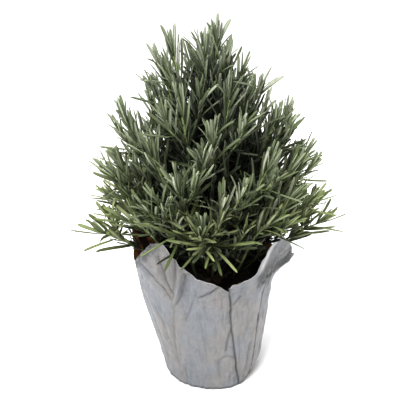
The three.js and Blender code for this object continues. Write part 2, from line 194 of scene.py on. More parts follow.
class Nodes:
    """Puts nodes into a tree and links them."""

    def __init__(self, tree: bpy.types.NodeTree) -> None:
        """Keeps the tree that the nodes go into."""
        self.tree = tree

    def feed(self, socket: bpy.types.NodeSocket, value: Feed) -> None:
        """Links a field to an input, or sets the input to a plain value."""
        if isinstance(value, Field):
            self.tree.links.new(value.socket, socket)
        elif value is not None:
            socket.default_value = value

    def add(self, kind: str, options: Optional[dict] = None, **feeds: Feed) -> Step:
        """Adds a node.

        Args:
            kind: the node's type name.
            options: the node's own settings.
            **feeds: what goes into its inputs, by identifier or name.

        Returns:
            The new node.
        """
        node = self.tree.nodes.new(kind)
        for name, value in (options or {}).items():
            setattr(node, name, value)
        for name, value in feeds.items():
            self.feed(find_socket(node.inputs, name), value)
        return Step(self, node)

    def apply(self, kind: str, operation: str, *values: Feed) -> Step:
        """A node of a kind that does one operation on the values."""
        step = self.add(kind, {"operation": operation})
        for socket, value in zip(step.node.inputs, values):
            self.feed(socket, value)
        return step

    def math(self, operation: str, *values: Feed) -> Field:
        """The result of a Math node on numbers."""
        return self.apply("ShaderNodeMath", operation, *values)["Value"]

    def vectors(self, operation: str, *values: Feed) -> Field:
        """The result of a Vector Math node on vectors."""
        return self.apply("ShaderNodeVectorMath", operation, *values)["Vector"]

    def span(self, value: Feed, low: Feed, high: Feed, first: Feed = 0.0, last: Feed = 1.0) -> Field:
        """The value's place between low and high, laid out from first to last and held there."""
        step = self.add(
            "ShaderNodeMapRange", Value=value, From_Min=low, From_Max=high, To_Min=first, To_Max=last
        )
        return step["Result"]

    def fall(self, value: Feed, low: Feed, high: Feed) -> Field:
        """1 up to low, 0 from high on, and evenly between them."""
        return 1.0 - self.span(value, low, high)

    def vector(self, x: Feed, y: Feed, z: Feed) -> Field:
        """A vector made of three numbers."""
        return self.add("ShaderNodeCombineXYZ", X=x, Y=y, Z=z)["Vector"]

    def place(self) -> Field:
        """The point on the piece, in metres. For shader nodes only."""
        return self.add("ShaderNodeTexCoord")["Object"]

    def stretched(self, place: Field, across: Feed, upright: Feed) -> Field:
        """A place scaled for a pattern, by one factor across and by another along +Z."""
        return self.vectors("MULTIPLY", place, self.vector(across, across, upright))

    def noise(self, place: Feed, scale: Feed, detail: float = 2.0, roughness: float = 0.5) -> Field:
        """Soft noise from 0 to 1."""
        step = self.add("ShaderNodeTexNoise", Vector=place, Scale=scale, Detail=detail, Roughness=roughness)
        return step["Fac"]


class SocketKind(Enum):
    """The kinds of socket that a group shows to its user."""

    GEOMETRY = "NodeSocketGeometry"
    NUMBER = "NodeSocketFloat"
    WHOLE = "NodeSocketInt"
    OBJECT = "NodeSocketObject"
    COLLECTION = "NodeSocketCollection"
    MATERIAL = "NodeSocketMaterial"


KIND_OF = {float: SocketKind.NUMBER, int: SocketKind.WHOLE}


class Group(Nodes):
    """A node group with named inputs and outputs."""

    def __init__(self, name: str, kind: str, inputs: dict, outputs: dict) -> None:
        """Makes the group.

        Args:
            name: the group's name.
            kind: GeometryNodeTree or ShaderNodeTree.
            inputs: for each input its usual value, or its SocketKind where it has none.
            outputs: the SocketKind of each output.
        """
        super().__init__(bpy.data.node_groups.new(name, kind))
        for label, given in inputs.items():
            socket_kind = KIND_OF.get(type(given), given)
            socket = self.tree.interface.new_socket(label, in_out="INPUT", socket_type=socket_kind.value)
            if socket_kind is not given:
                socket.default_value = given
        for label, socket_kind in outputs.items():
            self.tree.interface.new_socket(label, in_out="OUTPUT", socket_type=socket_kind.value)
        self.entry = Step(self, self.tree.nodes.new("NodeGroupInput"))
        self.exit = self.tree.nodes.new("NodeGroupOutput")

    def give(self, **results: Field) -> None:
        """Sends the results to the group's outputs."""
        for name, value in results.items():
            self.feed(find_socket(self.exit.inputs, name), value)

    def identifiers(self) -> dict[str, str]:
        """The identifier of each named input."""
        items = self.tree.interface.items_tree
        return {item.name: item.identifier for item in items if item.in_out == "INPUT"}


class GeometryGroup(Group):
    """A geometry node group: it takes a geometry and gives one back."""

    def __init__(self, name: str, inputs: dict) -> None:
        """Makes the group with its geometry sockets and the named inputs."""
        geometry = {"Geometry": SocketKind.GEOMETRY}
        super().__init__(name, "GeometryNodeTree", {**geometry, **inputs}, geometry)

    def named(self, name: str) -> Field:
        """The number stored under a name."""
        return self.add("GeometryNodeInputNamedAttribute", {"data_type": "FLOAT"}, Name=name)["Attribute"]

    def store(self, geometry: Field, name: str, value: Feed) -> Field:
        """The geometry with a number stored on each of its points."""
        options = {"data_type": "FLOAT", "domain": "POINT"}
        step = self.add(
            "GeometryNodeStoreNamedAttribute", options, Geometry=geometry, Name=name, Value=value
        )
        return step["Geometry"]

    def draw(self, low: Feed, high: Feed, purpose: int, kind: str = "FLOAT") -> Field:
        """A random number from low to high, drawn from the group's seed and a purpose."""
        options, seed = {"data_type": kind}, self.entry["Seed"] + purpose
        return self.add("FunctionNodeRandomValue", options, Min=low, Max=high, Seed=seed)["Value"]

    def pick(self, count: int, purpose: int) -> Field:
        """A random whole number below count."""
        return self.draw(0, count - 1, purpose, "INT")

    def shapes(self, collection: Field) -> Field:
        """The objects of a collection as instances to pick from."""
        return self.add(
            "GeometryNodeCollectionInfo", {"transform_space": "ORIGINAL"},
            Collection=collection, Separate_Children=True, Reset_Children=True,
        )["Instances"]

    def turn(self, rotation: Feed, axis: Place, angle: Feed) -> Field:
        """A rotation turned about one of its own axes."""
        by = self.add("FunctionNodeAxisAngleToRotation", Axis=axis, Angle=angle)["Rotation"]
        return self.add(
            "FunctionNodeRotateRotation", {"rotation_space": "LOCAL"}, Rotation=rotation, Rotate_By=by
        )["Rotation"]

    def facing(self, along: Field, across: Field) -> Field:
        """The rotation that lays +Z along one direction and +X as near as it can to another."""
        return self.add(
            "FunctionNodeAxesToRotation", {"primary_axis": "Z", "secondary_axis": "X"},
            Primary_Axis=along, Secondary_Axis=across,
        )["Rotation"]

    def turned_axis(self, axis: Place, rotation: Field) -> Field:
        """Where a rotation takes an axis."""
        return self.add("FunctionNodeRotateVector", Vector=axis, Rotation=rotation)["Vector"]

    def position(self) -> Field:
        """The place of a point."""
        return self.add("GeometryNodeInputPosition")["Position"]

    def meets(self, target: Field, start: Field, way: Field, reach: Feed) -> Field:
        """1 where a ray from the start along the way meets the target within its reach."""
        return self.add(
            "GeometryNodeRaycast", Target_Geometry=target, Source_Position=start, Ray_Direction=way,
            Ray_Length=reach,
        )["Is Hit"]

    def capture(self, geometry: Field, **values: tuple[str, Field]) -> Step:
        """Keeps values of this moment, each with its kind, on the points, so that they outlast a move."""
        step = self.add("GeometryNodeCaptureAttribute", {"domain": "POINT"}, Geometry=geometry)
        for name, (kind, value) in values.items():
            step.node.capture_items.new(kind, name)
            self.feed(find_socket(step.node.inputs, name), value)
        return step

    def joined(self, first: Field, *others: Field) -> Field:
        """The geometries in one, with every instance made real."""
        step = self.add("GeometryNodeJoinGeometry", Geometry=first)
        for other in others:
            self.feed(step.node.inputs[0], other)
        return self.add("GeometryNodeRealizeInstances", Geometry=step["Geometry"])["Geometry"]

    def dressed(self, geometry: Field, finish: Field, chosen: Feed = None) -> Field:
        """The geometry with a material on all its faces or on the chosen ones."""
        return self.add(
            "GeometryNodeSetMaterial", Geometry=geometry, Material=finish, Selection=chosen
        )["Geometry"]


@dataclass(frozen=True)
class Fade:
    """A shade that is full where a value is low and gone where it is high."""

    full: float
    gone: float
    factor: Union[float, Colour]


class Material(Nodes):
    """A material with one Principled shader."""

    def __init__(self, name: str, **fixed: Feed) -> None:
        """Makes the material.

        Args:
            name: the material's name.
            **fixed: values that are the same all over, set on the shader's own sockets.
        """
        self.data = bpy.data.materials.new(name)
        self.data.use_nodes = True
        super().__init__(self.data.node_tree)
        self.shader = self.tree.nodes["Principled BSDF"]
        self.dress(**fixed)

    def dress(self, **feeds: Feed) -> None:
        """Feeds the shader's inputs."""
        for name, value in feeds.items():
            self.feed(find_socket(self.shader.inputs, name), value)

    def height(self) -> Field:
        """How high the point is, in metres."""
        return self.add("ShaderNodeSeparateXYZ", Vector=self.place())["Z"]

    def stored(self, name: str) -> Field:
        """A number stored on the piece's points."""
        return self.add("ShaderNodeAttribute", {"attribute_name": name})["Fac"]

    def mix(self, share: Feed, first: Feed, second: Feed, blend: str = "MIX") -> Field:
        """A colour between two others, or the first with the second laid over it in another way."""
        first, second = (c + (1.0,) if isinstance(c, tuple) else c for c in (first, second))
        return self.add(
            "ShaderNodeMix", {"data_type": "RGBA", "blend_type": blend},
            Factor_Float=share, A_Color=first, B_Color=second,
        )["Result_Color"]

    def shade(self, share: Feed, colour: Feed, factor: Union[float, Colour]) -> Field:
        """A colour, multiplied by a factor or by another colour where share is 1."""
        by = factor if isinstance(factor, tuple) else (factor, factor, factor)
        return self.mix(share, colour, by, "MULTIPLY")

    def fade(self, value: Field, colour: Feed, fade: Fade, most: Feed = 1.0) -> Field:
        """A colour, shaded where a value is low. Most is the share of the shade where it is full."""
        return self.shade(self.fall(value, fade.full, fade.gone) * most, colour, fade.factor)

    def group(self, group: Group, **feeds: Feed) -> Step:
        """Places a shared node group with its own values."""
        return self.add("ShaderNodeGroup", {"node_tree": group.tree}, **feeds)

    def wrinkle(self, scale: float, stretch: float = 0.3, width: float = 0.03) -> Field:
        """Thin upright wrinkles: 1 on their lines and 0 between them."""
        place = self.stretched(self.place(), scale, scale * stretch)
        away = self.math("ABSOLUTE", self.noise(place, 1.0, detail=3.0, roughness=0.55) - 0.5)
        return self.fall(away, 0.0, width)

    def bump(self, height: Field, depth: float, below: Optional[Field] = None) -> Field:
        """A normal that follows a height between 0 and 1, depth metres deep."""
        step = self.add("ShaderNodeBump", Height=height, Distance=depth, Strength=1.0, Normal=below)
        return step["Normal"]


# ------- effects that materials share


def make_mottle() -> Group:
    """Soft blotches and the cloudiness inside them, as masks from 0 to 1.

    Returns:
        A group with the outputs Blotch and Cloud. Stretch is how much longer than wide they are.
    """
    results = {"Blotch": SocketKind.NUMBER, "Cloud": SocketKind.NUMBER}
    group = Group("soft_mottle", "ShaderNodeTree", {"Scale": 40.0, "Stretch": 1.0}, results)
    scale = group.entry["Scale"]
    place = group.stretched(group.place(), scale, scale / group.entry["Stretch"])
    group.give(
        Blotch=group.span(group.noise(place, 1.0, detail=2.0), 0.4, 0.6),
        Cloud=group.span(group.noise(place, 3.7, detail=4.0, roughness=0.6), 0.3, 0.7),
    )
    return group


def make_relief() -> Group:
    """Fine grains and short fibres that a finish is rough with.

    Returns:
        A group with the output Height from 0 to 1. Fibres is the share of fibres in it.
    """
    inputs = {"Grain": 900.0, "Fibres": 0.4, "Stretch": 4.0}
    group = Group("fine_relief", "ShaderNodeTree", inputs, {"Height": SocketKind.NUMBER})
    grain, share = group.entry["Grain"], group.entry["Fibres"]
    point = group.place()
    grains = group.noise(point, grain, detail=3.0, roughness=0.6)
    place = group.stretched(point, grain, grain / group.entry["Stretch"])
    fibres = group.add("ShaderNodeTexVoronoi", {"feature": "F1"}, Vector=place, Scale=0.6)["Distance"]
    group.give(Height=grains * (1.0 - share) + fibres * share)
    return group


MOTTLE = make_mottle()
RELIEF = make_relief()


# ------- finishes


@dataclass(frozen=True)
class Texture:
    """The fine structure of a finish: soft blotches, a relief of grains and fibres, and gloss."""

    blotches: Pair  # their scale and stretch
    grains: Triple  # their scale, the share of fibres and the fibres' stretch
    depth: float  # of the relief
    rough: Pair  # roughness where it is smoothest and where it is roughest

    def mottle(self, look: Material) -> Step:
        """The blotches and the clouds."""
        return look.group(MOTTLE, Scale=self.blotches[0], Stretch=self.blotches[1])

    def close(self, look: Material, colour: Field, gloss: Field,
              below: Optional[Field] = None) -> Dress:
        """Feeds the shader of a material.

        Args:
            look: the material.
            colour: its colour.
            gloss: a mask that is 0 where it is smoothest and 1 where it is roughest.
            below: a coarser relief under the fine one.

        Returns:
            The finished material.
        """
        grain, fibres, stretch = self.grains
        relief = look.group(RELIEF, Grain=grain, Fibres=fibres, Stretch=stretch)
        look.dress(
            Base_Color=colour,
            Roughness=look.span(gloss, 0.0, 1.0, *self.rough),
            Normal=look.bump(relief["Height"], self.depth, below),
        )
        return look.data


@dataclass(frozen=True)
class LeafFinish:
    """Leaves under a fine grey down: paler below, and greener where they are young, with painted shade
    inside the bush, at leaf feet and margins and down in the pot.
    """

    name: str
    upper: Colour
    under: Colour
    young: Colour
    texture: Texture = Texture((320.0, 1.5), (2600.0, 0.5, 3.0), 0.12 * MM, (0.52, 0.7))
    spread: float = 0.85  # how much one leaf differs from the next
    darkest: Colour = (0.23, 0.3, 0.1)  # and what shades the darkest leaf
    margin: Colour = (0.3, 0.37, 0.18)  # the painted shade on the rolled margins
    old: Fade = Fade(0.0, 0.55, (0.45, 0.5, 0.25))  # by youth: older leaves lower on a stem are darker, partly their own colour and partly painted shade deep in the bush
    foot: Fade = Fade(0.0, 0.6, (0.42, 0.5, 0.28))  # painted shade at the leaf's foot, by the place along the leaf
    inside: Fade = Fade(0.15, 0.95, (0.06, 0.1, 0.02))  # painted shade inside the bush, by how far out in the bush it is
    low: Fade = Fade(150.0 * MM, 300.0 * MM, (0.98, 1.0, 0.8))  # by height
    pot_shade: Fade = Fade(106.0 * MM, 134.0 * MM, 0.12)  # painted shade down in the pot, by height

    def material(self) -> Dress:
        """The material. It reads the leaves' own upper, along, outer, tint and youth."""
        look = Material(self.name, Specular_IOR_Level=0.27, Sheen_Weight=0.06, Sheen_Roughness=0.5)
        mottle = self.texture.mottle(look)
        upper, along, youth = (look.stored(name) for name in ("upper", "along", "youth"))
        colour = look.mix(look.span(upper, 0.2, 0.7), self.under, self.upper)
        colour = look.mix(youth * 0.35 + look.fall(along, 0.0, 0.45) * 0.4, colour, self.young)
        # Painted shade on old leaves, leaf feet, the inside of the bush and the part down in the pot; the
        # low leaves are also yellower.
        height, outwards = look.height(), look.stored("outer") + youth * 0.4
        fades = ((youth, self.old), (along, self.foot), (outwards, self.inside), (height, self.low),
                 (height, self.pot_shade))
        for value, fade in fades:
            colour = look.fade(value, colour, fade)
        # Painted shade on the rolled margins.
        margin = look.fall((upper - 0.5) * (upper - 0.5), 0.01, 0.14)
        colour = look.shade(margin * 0.85, colour, self.margin)
        colour = look.shade(look.stored("tint") * self.spread, colour, self.darkest)
        colour = look.shade(mottle["Blotch"] * 0.22, colour, 0.6)
        return self.texture.close(look, colour, mottle["Cloud"])


@dataclass(frozen=True)
class StemFinish:
    """Square stems: green and downy above, brown and woody towards the crown."""

    name: str
    green: Colour
    wood: Colour
    texture: Texture = Texture((260.0, 4.0), (1500.0, 0.7, 6.0), 0.25 * MM, (0.6, 0.85))
    pot_shade: Fade = Fade(108.0 * MM, 150.0 * MM, 0.1)  # painted shade down in the pot, by height

    def material(self) -> Dress:
        """The material. It reads the stem's own woody share."""
        look = Material(self.name, Specular_IOR_Level=0.3)
        mottle = self.texture.mottle(look)
        age = look.span(look.stored("woody") + mottle["Cloud"] * 0.3, 0.3, 0.9)
        colour = look.mix(age, self.green, self.wood)
        colour = look.shade(mottle["Blotch"] * 0.35, colour, 0.55)
        # Painted shade down in the pot.
        return self.texture.close(look, look.fade(look.height(), colour, self.pot_shade), age)


@dataclass(frozen=True)
class PaperFinish:
    """Coated paper, with soft blotches of two tones, painted shade in creases and gaps, painted highlights
    on a corner and a pale cut edge.
    """

    name: str
    cool: Colour
    warm: Colour
    # colour of the pale cut edge, also of the painted highlights
    edge: Colour
    metallic: float
    texture: Texture = Texture((42.0, 1.6), (1100.0, 0.35, 2.0), 0.08 * MM, (0.38, 0.54))
    crease_shade: Colour = (0.16, 0.155, 0.15)  # the colour that painted shade in creases, wrinkles, corners and pleat gaps multiplies by
    pot_shade_share: float = 0.0  # how much the painted shade down in the pot darkens the paper
    pot_shade: Fade = Fade(100.0 * MM, 116.0 * MM, 0.02)  # painted shade down in the pot, by height
    wrinkles: float = 95.0  # scale of the thin upright wrinkles
    fleck: float = 0.55  # how much paler the crumpled corners are in flecks
    crumple: float = 7.0  # how much rougher such a corner is

    def material(self) -> Dress:
        """The material. It reads the sheet's own crease, edge, pale and crumpled."""
        look = Material(self.name, Metallic=self.metallic, Specular_IOR_Level=0.3)
        broad = self.texture.mottle(look)
        fine = look.group(MOTTLE, Scale=230.0, Stretch=1.2)
        crumpled = look.stored("crumpled")
        colour = look.mix(broad["Blotch"], self.cool, self.warm)
        # Painted shade down in the pot, as much as the share says.
        colour = look.fade(look.height(), colour, self.pot_shade, self.pot_shade_share)
        colour = look.shade(broad["Cloud"] * 0.3, colour, 0.8)
        colour = look.shade(fine["Blotch"] * 0.25, colour, 0.8)
        # Painted shade in creases, wrinkles, the front corners, pleat gaps and along the foot.
        colour = look.shade(look.stored("crease"), colour, self.crease_shade)
        flecks = crumpled * look.span(fine["Blotch"], 0.35, 0.7) * self.fleck
        # Painted highlights on the right flap, and paler flecks in the crumpled corners.
        colour = look.mix(look.stored("pale") + flecks, colour, self.edge)
        colour = look.mix(look.stored("edge") * 0.8, colour, self.edge)
        # Painted shade along the thin wrinkles, which also dent the relief.
        line = look.wrinkle(self.wrinkles)
        colour = look.shade(line * 0.12, colour, 0.7)
        relief = fine["Cloud"] * (1.0 + self.crumple * crumpled) - line * 0.4
        return self.texture.close(look, colour, broad["Cloud"], look.bump(relief, 0.6 * MM))


@dataclass(frozen=True)
class PlasticFinish:
    """Thin black plastic, fine satin, with dust in its low places."""

    name: str
    colour: Colour
    dust: Colour
    texture: Texture = Texture((90.0, 0.4), (1800.0, 0.1, 1.0), 0.06 * MM, (0.38, 0.75))

    def material(self) -> Dress:
        """The material."""
        look = Material(self.name, Specular_IOR_Level=0.45)
        mottle = self.texture.mottle(look)
        dusty = mottle["Blotch"] * mottle["Cloud"]
        return self.texture.close(look, look.mix(dusty * 0.5, self.colour, self.dust), dusty)


@dataclass(frozen=True)
class EarthFinish:
    """Damp peat and bark: each crumb has its own tone."""

    name: str
    dark: Colour
    light: Colour
    texture: Texture = Texture((300.0, 1.0), (1400.0, 0.5, 1.5), 0.4 * MM, (0.75, 0.98))

    def material(self) -> Dress:
        """The material. It reads the crumbs' own tint."""
        look = Material(self.name, Specular_IOR_Level=0.25)
        mottle = self.texture.mottle(look)
        tone = look.stored("tint") * 0.6 + mottle["Blotch"] * 0.4
        return self.texture.close(look, look.mix(tone, self.dark, self.light), mottle["Cloud"])


@dataclass(frozen=True)
class BarkFinish:
    """Grey brown bark, finely split along its growth."""

    name: str
    dark: Colour
    light: Colour
    texture: Texture = Texture((240.0, 5.0), (700.0, 0.8, 8.0), 0.9 * MM, (0.8, 0.95))

    def material(self) -> Dress:
        """The material."""
        look = Material(self.name, Specular_IOR_Level=0.25)
        mottle = self.texture.mottle(look)
        colour = look.mix(mottle["Cloud"], self.dark, self.light)
        return self.texture.close(look, look.shade(mottle["Blotch"] * 0.5, colour, 0.5), mottle["Cloud"])


# ------- meshes


def put_in_scene(name: str, data: bpy.types.ID) -> Piece:
    """Makes an object of a mesh, a lamp or a camera and puts it in the scene."""
    made = bpy.data.objects.new(name, data)
    bpy.context.scene.collection.objects.link(made)
    return made


def new_object(name: str, points: Sequence, edges: Sequence, faces: Sequence) -> Piece:
    """Makes a smoothly shaded object from points, edges and faces."""
    mesh = bpy.data.meshes.new(name)
    mesh.from_pydata(points, edges, faces)
    mesh.update()
    if faces:
        mesh.shade_smooth()
    return put_in_scene(name, mesh)


def closed_faces(rings: int, count: int) -> list[tuple[int, ...]]:
    """Faces of a closed form: a first point, rings of points round it, and a last point.

    Args:
        rings: how many rings there are.
        count: how many points each of them has.

    Returns:
        The faces, which point outwards.
    """
    pairs = [(k, (k + 1) % count) for k in range(count)]
    last = 1 + (rings - 1) * count
    faces: list[tuple[int, ...]] = [(0, 1 + right, 1 + left) for left, right in pairs]
    for low in range(1, last, count):
        high = low + count
        faces += [(low + left, low + right, high + right, high + left) for left, right in pairs]
    return faces + [(last + count, last + left, last + right) for left, right in pairs]


def store_numbers(made: Piece, name: str, values: Sequence[float]) -> None:
    """Stores one number on each point of an object's mesh."""
    attribute = made.data.attributes.new(name, "FLOAT", "POINT")
    attribute.data.foreach_set("value", np.asarray(values, dtype=np.float32).ravel())


def settle(made: Piece) -> None:
    """Turns what an object's modifiers make into its own plain mesh."""
    graph = bpy.context.evaluated_depsgraph_get()
    made.data = bpy.data.meshes.new_from_object(
        made.evaluated_get(graph), preserve_all_data_layers=True, depsgraph=graph
    )
    made.modifiers.clear()


def clothe(made: Piece, group: GeometryGroup, **values: object) -> None:
    """Runs a geometry group on an object and keeps its result as a plain mesh.

    Args:
        made: the object that carries the points or lines.
        group: the geometry group.
        **values: the group's inputs, by name with _ for each space.
    """
    modifier = made.modifiers.new(group.tree.name, "NODES")
    modifier.node_group = group.tree
    identifiers = group.identifiers()
    for name, value in values.items():
        modifier[identifiers[name.replace("_", " ")]] = value
    settle(made)


def hand_over(made: Piece, slot: str, *nodes: str) -> None:
    """Fastens a finished piece to the frame, in place of its CAD nodes."""
    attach(made, "root")
    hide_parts(*nodes)
    LOG.info("%s: %d faces", made.name, len(made.data.polygons))


class ShapeShelf:
    """A few small shapes that instances are picked from, kept out of the picture."""

    def __init__(self, name: str, shapes: Sequence[Piece]) -> None:
        """Moves the shapes from the scene to a collection of their own."""
        self.collection = bpy.data.collections.new(name)
        for shape in shapes:
            bpy.context.scene.collection.objects.unlink(shape)
            self.collection.objects.link(shape)

    def clear(self) -> None:
        """Removes the shapes once nothing needs them."""
        for shape in list(self.collection.objects):
            bpy.data.objects.remove(shape)
        bpy.data.collections.remove(self.collection)


# ------- paper wrap


class OnTop(Enum):
    """Which side of a pleat lies over the other."""

    RIGHT = 1
    LEFT = -1


LOWEST, MIDDLE, TOP = 0.0, 1.0, 2.0  # the layers of a pleat; its turns lie halfway between them


@dataclass(frozen=True)
class Pleat:
    """A knife pleat: the sheet doubles back under itself, and painted shade along its edge and in the gap
    beside it makes the edge show as a line.
    """

    foot: float  # azimuth of the edge at the base
    shoulder: float  # and where the collar starts
    rim: float  # and at the rim
    on_top: OnTop
    width: float = 8.0  # how far the hidden layers reach, in degrees
    gap: float = 1.0  # how wide the painted shade of the gap beside the edge is
    slant: float = 0.6  # below 1 it slants most near the base
    turn: Pair = (1.0, 2.0)  # the climbs between which it swings to the rim
    reach: Pair = (30.0, 30.0)  # degrees to its left and right that it draws along
    lift: float = 1.0  # how much its free edge lifts
    line: float = 0.0  # how wide the painted shade line on the edge itself is, in degrees
    dark: float = 1.0  # and how dark

    def edge(self, climb: float) -> float:
        """Azimuth of the edge: climb is 0 at the base, 1 at the shoulder and 2 at the rim."""
        if climb < 1.0:
            return lerp(self.foot, self.shoulder, climb ** self.slant)
        return lerp(self.shoulder, self.rim, smooth(climb, *self.turn))


@dataclass(frozen=True)
class Crease:
    """A line pressed into the sheet, or raised out of it where the depth is negative."""

    path: Marks  # azimuths in degrees and heights in millimetres
    depth: float  # millimetres
    width: float = 3.0


@dataclass(frozen=True)
class FootBend:
    """A stretch of the wrap's foot that is pressed in or stands out."""

    azimuth: float
    width: float  # degrees to each side
    depth: float  # millimetres


@dataclass(frozen=True)
class Sheet:
    """The places of all points of the wrap, row by row."""

    azimuths: np.ndarray  # degrees
    heights: np.ndarray  # metres


@dataclass(frozen=True)
class Column:
    """One upright line of the sheet."""

    azimuth: float
    layer: float = 0.0
    pleat: Optional[Pleat] = None
    inset: float = 0.0  # place inside the pleat, in widths of it to the right of its edge
    shade: float = 0.0  # painted shade from the gap beside the pleat


@dataclass(frozen=True)
class PotWrap:
    """A square sheet gathered round the pot: a leaning cone with a collar of four corners."""

    base_radius: float = 44.5 * MM
    taper: float = 0.175
    shoulder: float = 96.0 * MM
    lean: float = 5.4 * MM
    edge_round: float = 2.6 * MM
    paper: float = 0.3 * MM
    layer_gap: float = 0.6 * MM
    step_degrees: float = 1.0
    fold_steps: int = 4
    wall_rows: int = 56
    collar_rows: int = 44
    turn_inset: float = 1.12  # how far in a pleat's hidden turn lies, in widths of the pleat
    edge_inset: float = -0.1  # and its free edge
    edge_shade: float = 0.35  # how dark the painted shade on the free edge is at least
    lip: float = 0.8 * MM  # how far a pleat's free edge lifts off the sheet below
    lip_width: float = 4.0
    lip_waves: Triple = (0.65, 0.35, 9.0)  # mean, swing and pace of the lift
    tuck: float = 0.9 * MM  # how far a pleat's hidden layers sink in
    step_down: Pair = (1.5 * MM, 12.0)  # how far the rim sinks under the front pleat, over so many degrees
    step_up: Pair = (3.2 * MM, 9.0)  # how far the front pleat's own rim stands above it
    foot_line: float = 1.6 * MM  # height of the painted shade line along the foot
    foot_dark: float = 0.46  # and how dark it is
    fine_dark: float = 0.17  # how dark the painted shade in the fine wrinkles is
    rim_ripple: float = 0.8 * MM
    mean_radius: float = 60.0  # millimetres; distances along the sheet are measured on it
    soft_corner: FootBend = FootBend(74.0, 42.0, 4.6)  # where the foot is rounder
    full_corner: FootBend = FootBend(26.0, 30.0, 2.2)  # and where it is fuller
    bend_height: float = 24.0 * MM
    crease_lips: Pair = (1.6, 0.35)  # their distance, in widths, and their height
    crease_dark: Pair = (0.62, 3.2)  # painted shade in crease valleys: the darkest, and how deep one is per shade

    # The painted shade in the gap beside a pleat: degrees from its edge, and how dark it is there.
    gap_shades: tuple[Pair, ...] = ((1.3, 0.0), (0.9, 0.8), (0.25, 1.0))

    # The rim: azimuth, height and radius, both in millimetres.
    rim_marks: tuple[Triple, ...] = (
        (-90, 136, 64.6), (-80, 119, 65), (-71, 127, 65), (-54, 146, 64.5), (-48, 154.5, 63),
        (-38, 158, 61), (-35, 155, 60.5), (-25, 145, 60.5), (-16, 138.5, 60.5), (-8, 131, 61),
        (7, 127, 63), (18, 120, 65.5), (20, 123.5, 65.5), (32, 128.5, 66.3), (40, 130.6, 66.5),
        (46, 140, 67.2), (54, 152, 69), (59, 155, 70), (66, 155.4, 71), (79, 139, 76), (86, 126, 79),
        (92, 119, 79), (104, 110, 74), (112, 107, 70), (132, 128, 70), (150, 146, 73), (168, 126, 69),
        (188, 114, 67), (210, 118, 69), (230, 138, 74), (243, 146, 73), (258, 142, 68), (270, 136, 64.6),
    )
    pleats: tuple[Pleat, ...] = (
        Pleat(35.0, 20.5, 18.0, OnTop.RIGHT, gap=0.45, line=0.1, dark=0.55),
        Pleat(51.0, 53.0, 84.0, OnTop.LEFT, 8.0, 2.4, turn=(1.2, 1.8), reach=(30.0, 64.0), lift=0.0,
              line=1.4),
        Pleat(124.0, 122.0, 124.0, OnTop.RIGHT),
        Pleat(166.0, 170.0, 172.0, OnTop.LEFT),
        Pleat(212.0, 214.0, 218.0, OnTop.RIGHT),
        Pleat(248.0, 246.0, 250.0, OnTop.LEFT),
    )
    creases: tuple[Crease, ...] = (
        Crease(((-60, 127), (-49, 122), (-38.6, 115), (-28.5, 106)), 2.2, 3.6),
        Crease(((-42, 143), (-36, 124), (-28.4, 112)), 2.4, 3.6),
        Crease(((-25.5, 144), (-26.5, 128), (-26.5, 110)), 1.6, 2.6),
        Crease(((-21, 140), (-21.5, 122), (-23.5, 104)), -2.4, 4.5),
        Crease(((-16.5, 133), (-19.5, 113), (-23.6, 103)), 1.8, 2.6),
        Crease(((46, 131), (53, 141), (61, 149)), -1.3, 4.0),
        Crease(((42, 126), (48, 121), (54, 114)), 0.6, 3.0),
        Crease(((82, 114), (88, 116), (96, 117)), -3.4, 7.0),
        Crease(((58, 128), (66, 133), (74, 140)), -0.9, 3.0),
        Crease(((-8.6, 114), (-12.5, 100), (-17.2, 86)), 1.2),
        Crease(((-4.9, 112), (4, 117), (10, 123)), 1.5, 2.4),
        Crease(((-8, 118), (-6, 108)), 1.0),
        Crease(((-5, 95), (-2.8, 66), (-2, 46)), 0.8, 3.5),
        Crease(((-26.4, 102), (-32.8, 59), (-37.3, 30)), 0.9, 3.5),
        Crease(((-47.6, 92), (-44, 81), (-40, 69), (-42, 54)), 1.0, 3.2),
        Crease(((-10, 53), (-6, 36)), 0.9),
        Crease(((22.5, 74), (17, 48)), 1.2),
        Crease(((8.3, 36), (10, 16)), 1.0),
        Crease(((8.3, 38), (17, 43), (25.6, 38)), 0.9),
        Crease(((-27.8, 27), (-30, 3)), 1.0),
        Crease(((21.3, 104), (28, 111)), 1.1, 2.6),
        Crease(((43.8, 50), (42.4, 18)), 0.8),
        Crease(((33, 104), (38, 92), (39, 70)), 0.8, 3.4),
    )
    back_corners: tuple[float, ...] = (150.0, 243.0)
    fan: tuple[float, ...] = (-1.4, -0.5, 0.4, 1.3)  # how the creases below them spread
    loose_creases: int = 30  # others at the back
    soft_back: Pair = (98.0, 262.0)  # where the turns of the rim are rounded
    softening: tuple[float, ...] = (-9.0, -5.0, 0.0, 5.0, 9.0)  # and over which azimuths

    # The two front corners, with painted shade and painted highlights: their edges, and the pleated side of
    # the right one, its hem.
    left_edge: Marks = ((-82, 119), (-71, 127), (-54, 146), (-48, 154.5))
    right_edge: Marks = ((40, 130.6), (46, 140), (54, 152), (59, 155))
    right_hem: Marks = ((54, 112), (62, 118), (70, 121.5), (79, 123), (86, 125))
    left_end: float = -40.0  # where the painted shade on the left corner ends
    edge_width: float = 9.0  # how wide it is, in millimetres
    edge_dark: float = 0.42
    flap_start: Pair = (41.0, 46.0)  # between which azimuths the right one begins
    flap_end: float = 92.0
    flap_rise: float = 4.0  # height over its hem, in millimetres, where it is full
    # painted shade on the right flap
    flap_dark: float = 0.34
    band: Pair = (2.4, 1.8)  # the painted highlight band: distance from its edge, and width
    band_end: Pair = (58.0, 14.0)  # where it starts to fade, and over how much
    strip_start: Pair = (56.0, 62.0)  # the painted shadow strip below its hem
    strip_width: float = 9.0
    strip_dark: float = 0.72
    hem_width: float = 1.8  # the painted highlight line along the hem
    hem_pale: float = 0.7
    crumple_place: float = 6.0  # how far from the hem it is most crumpled

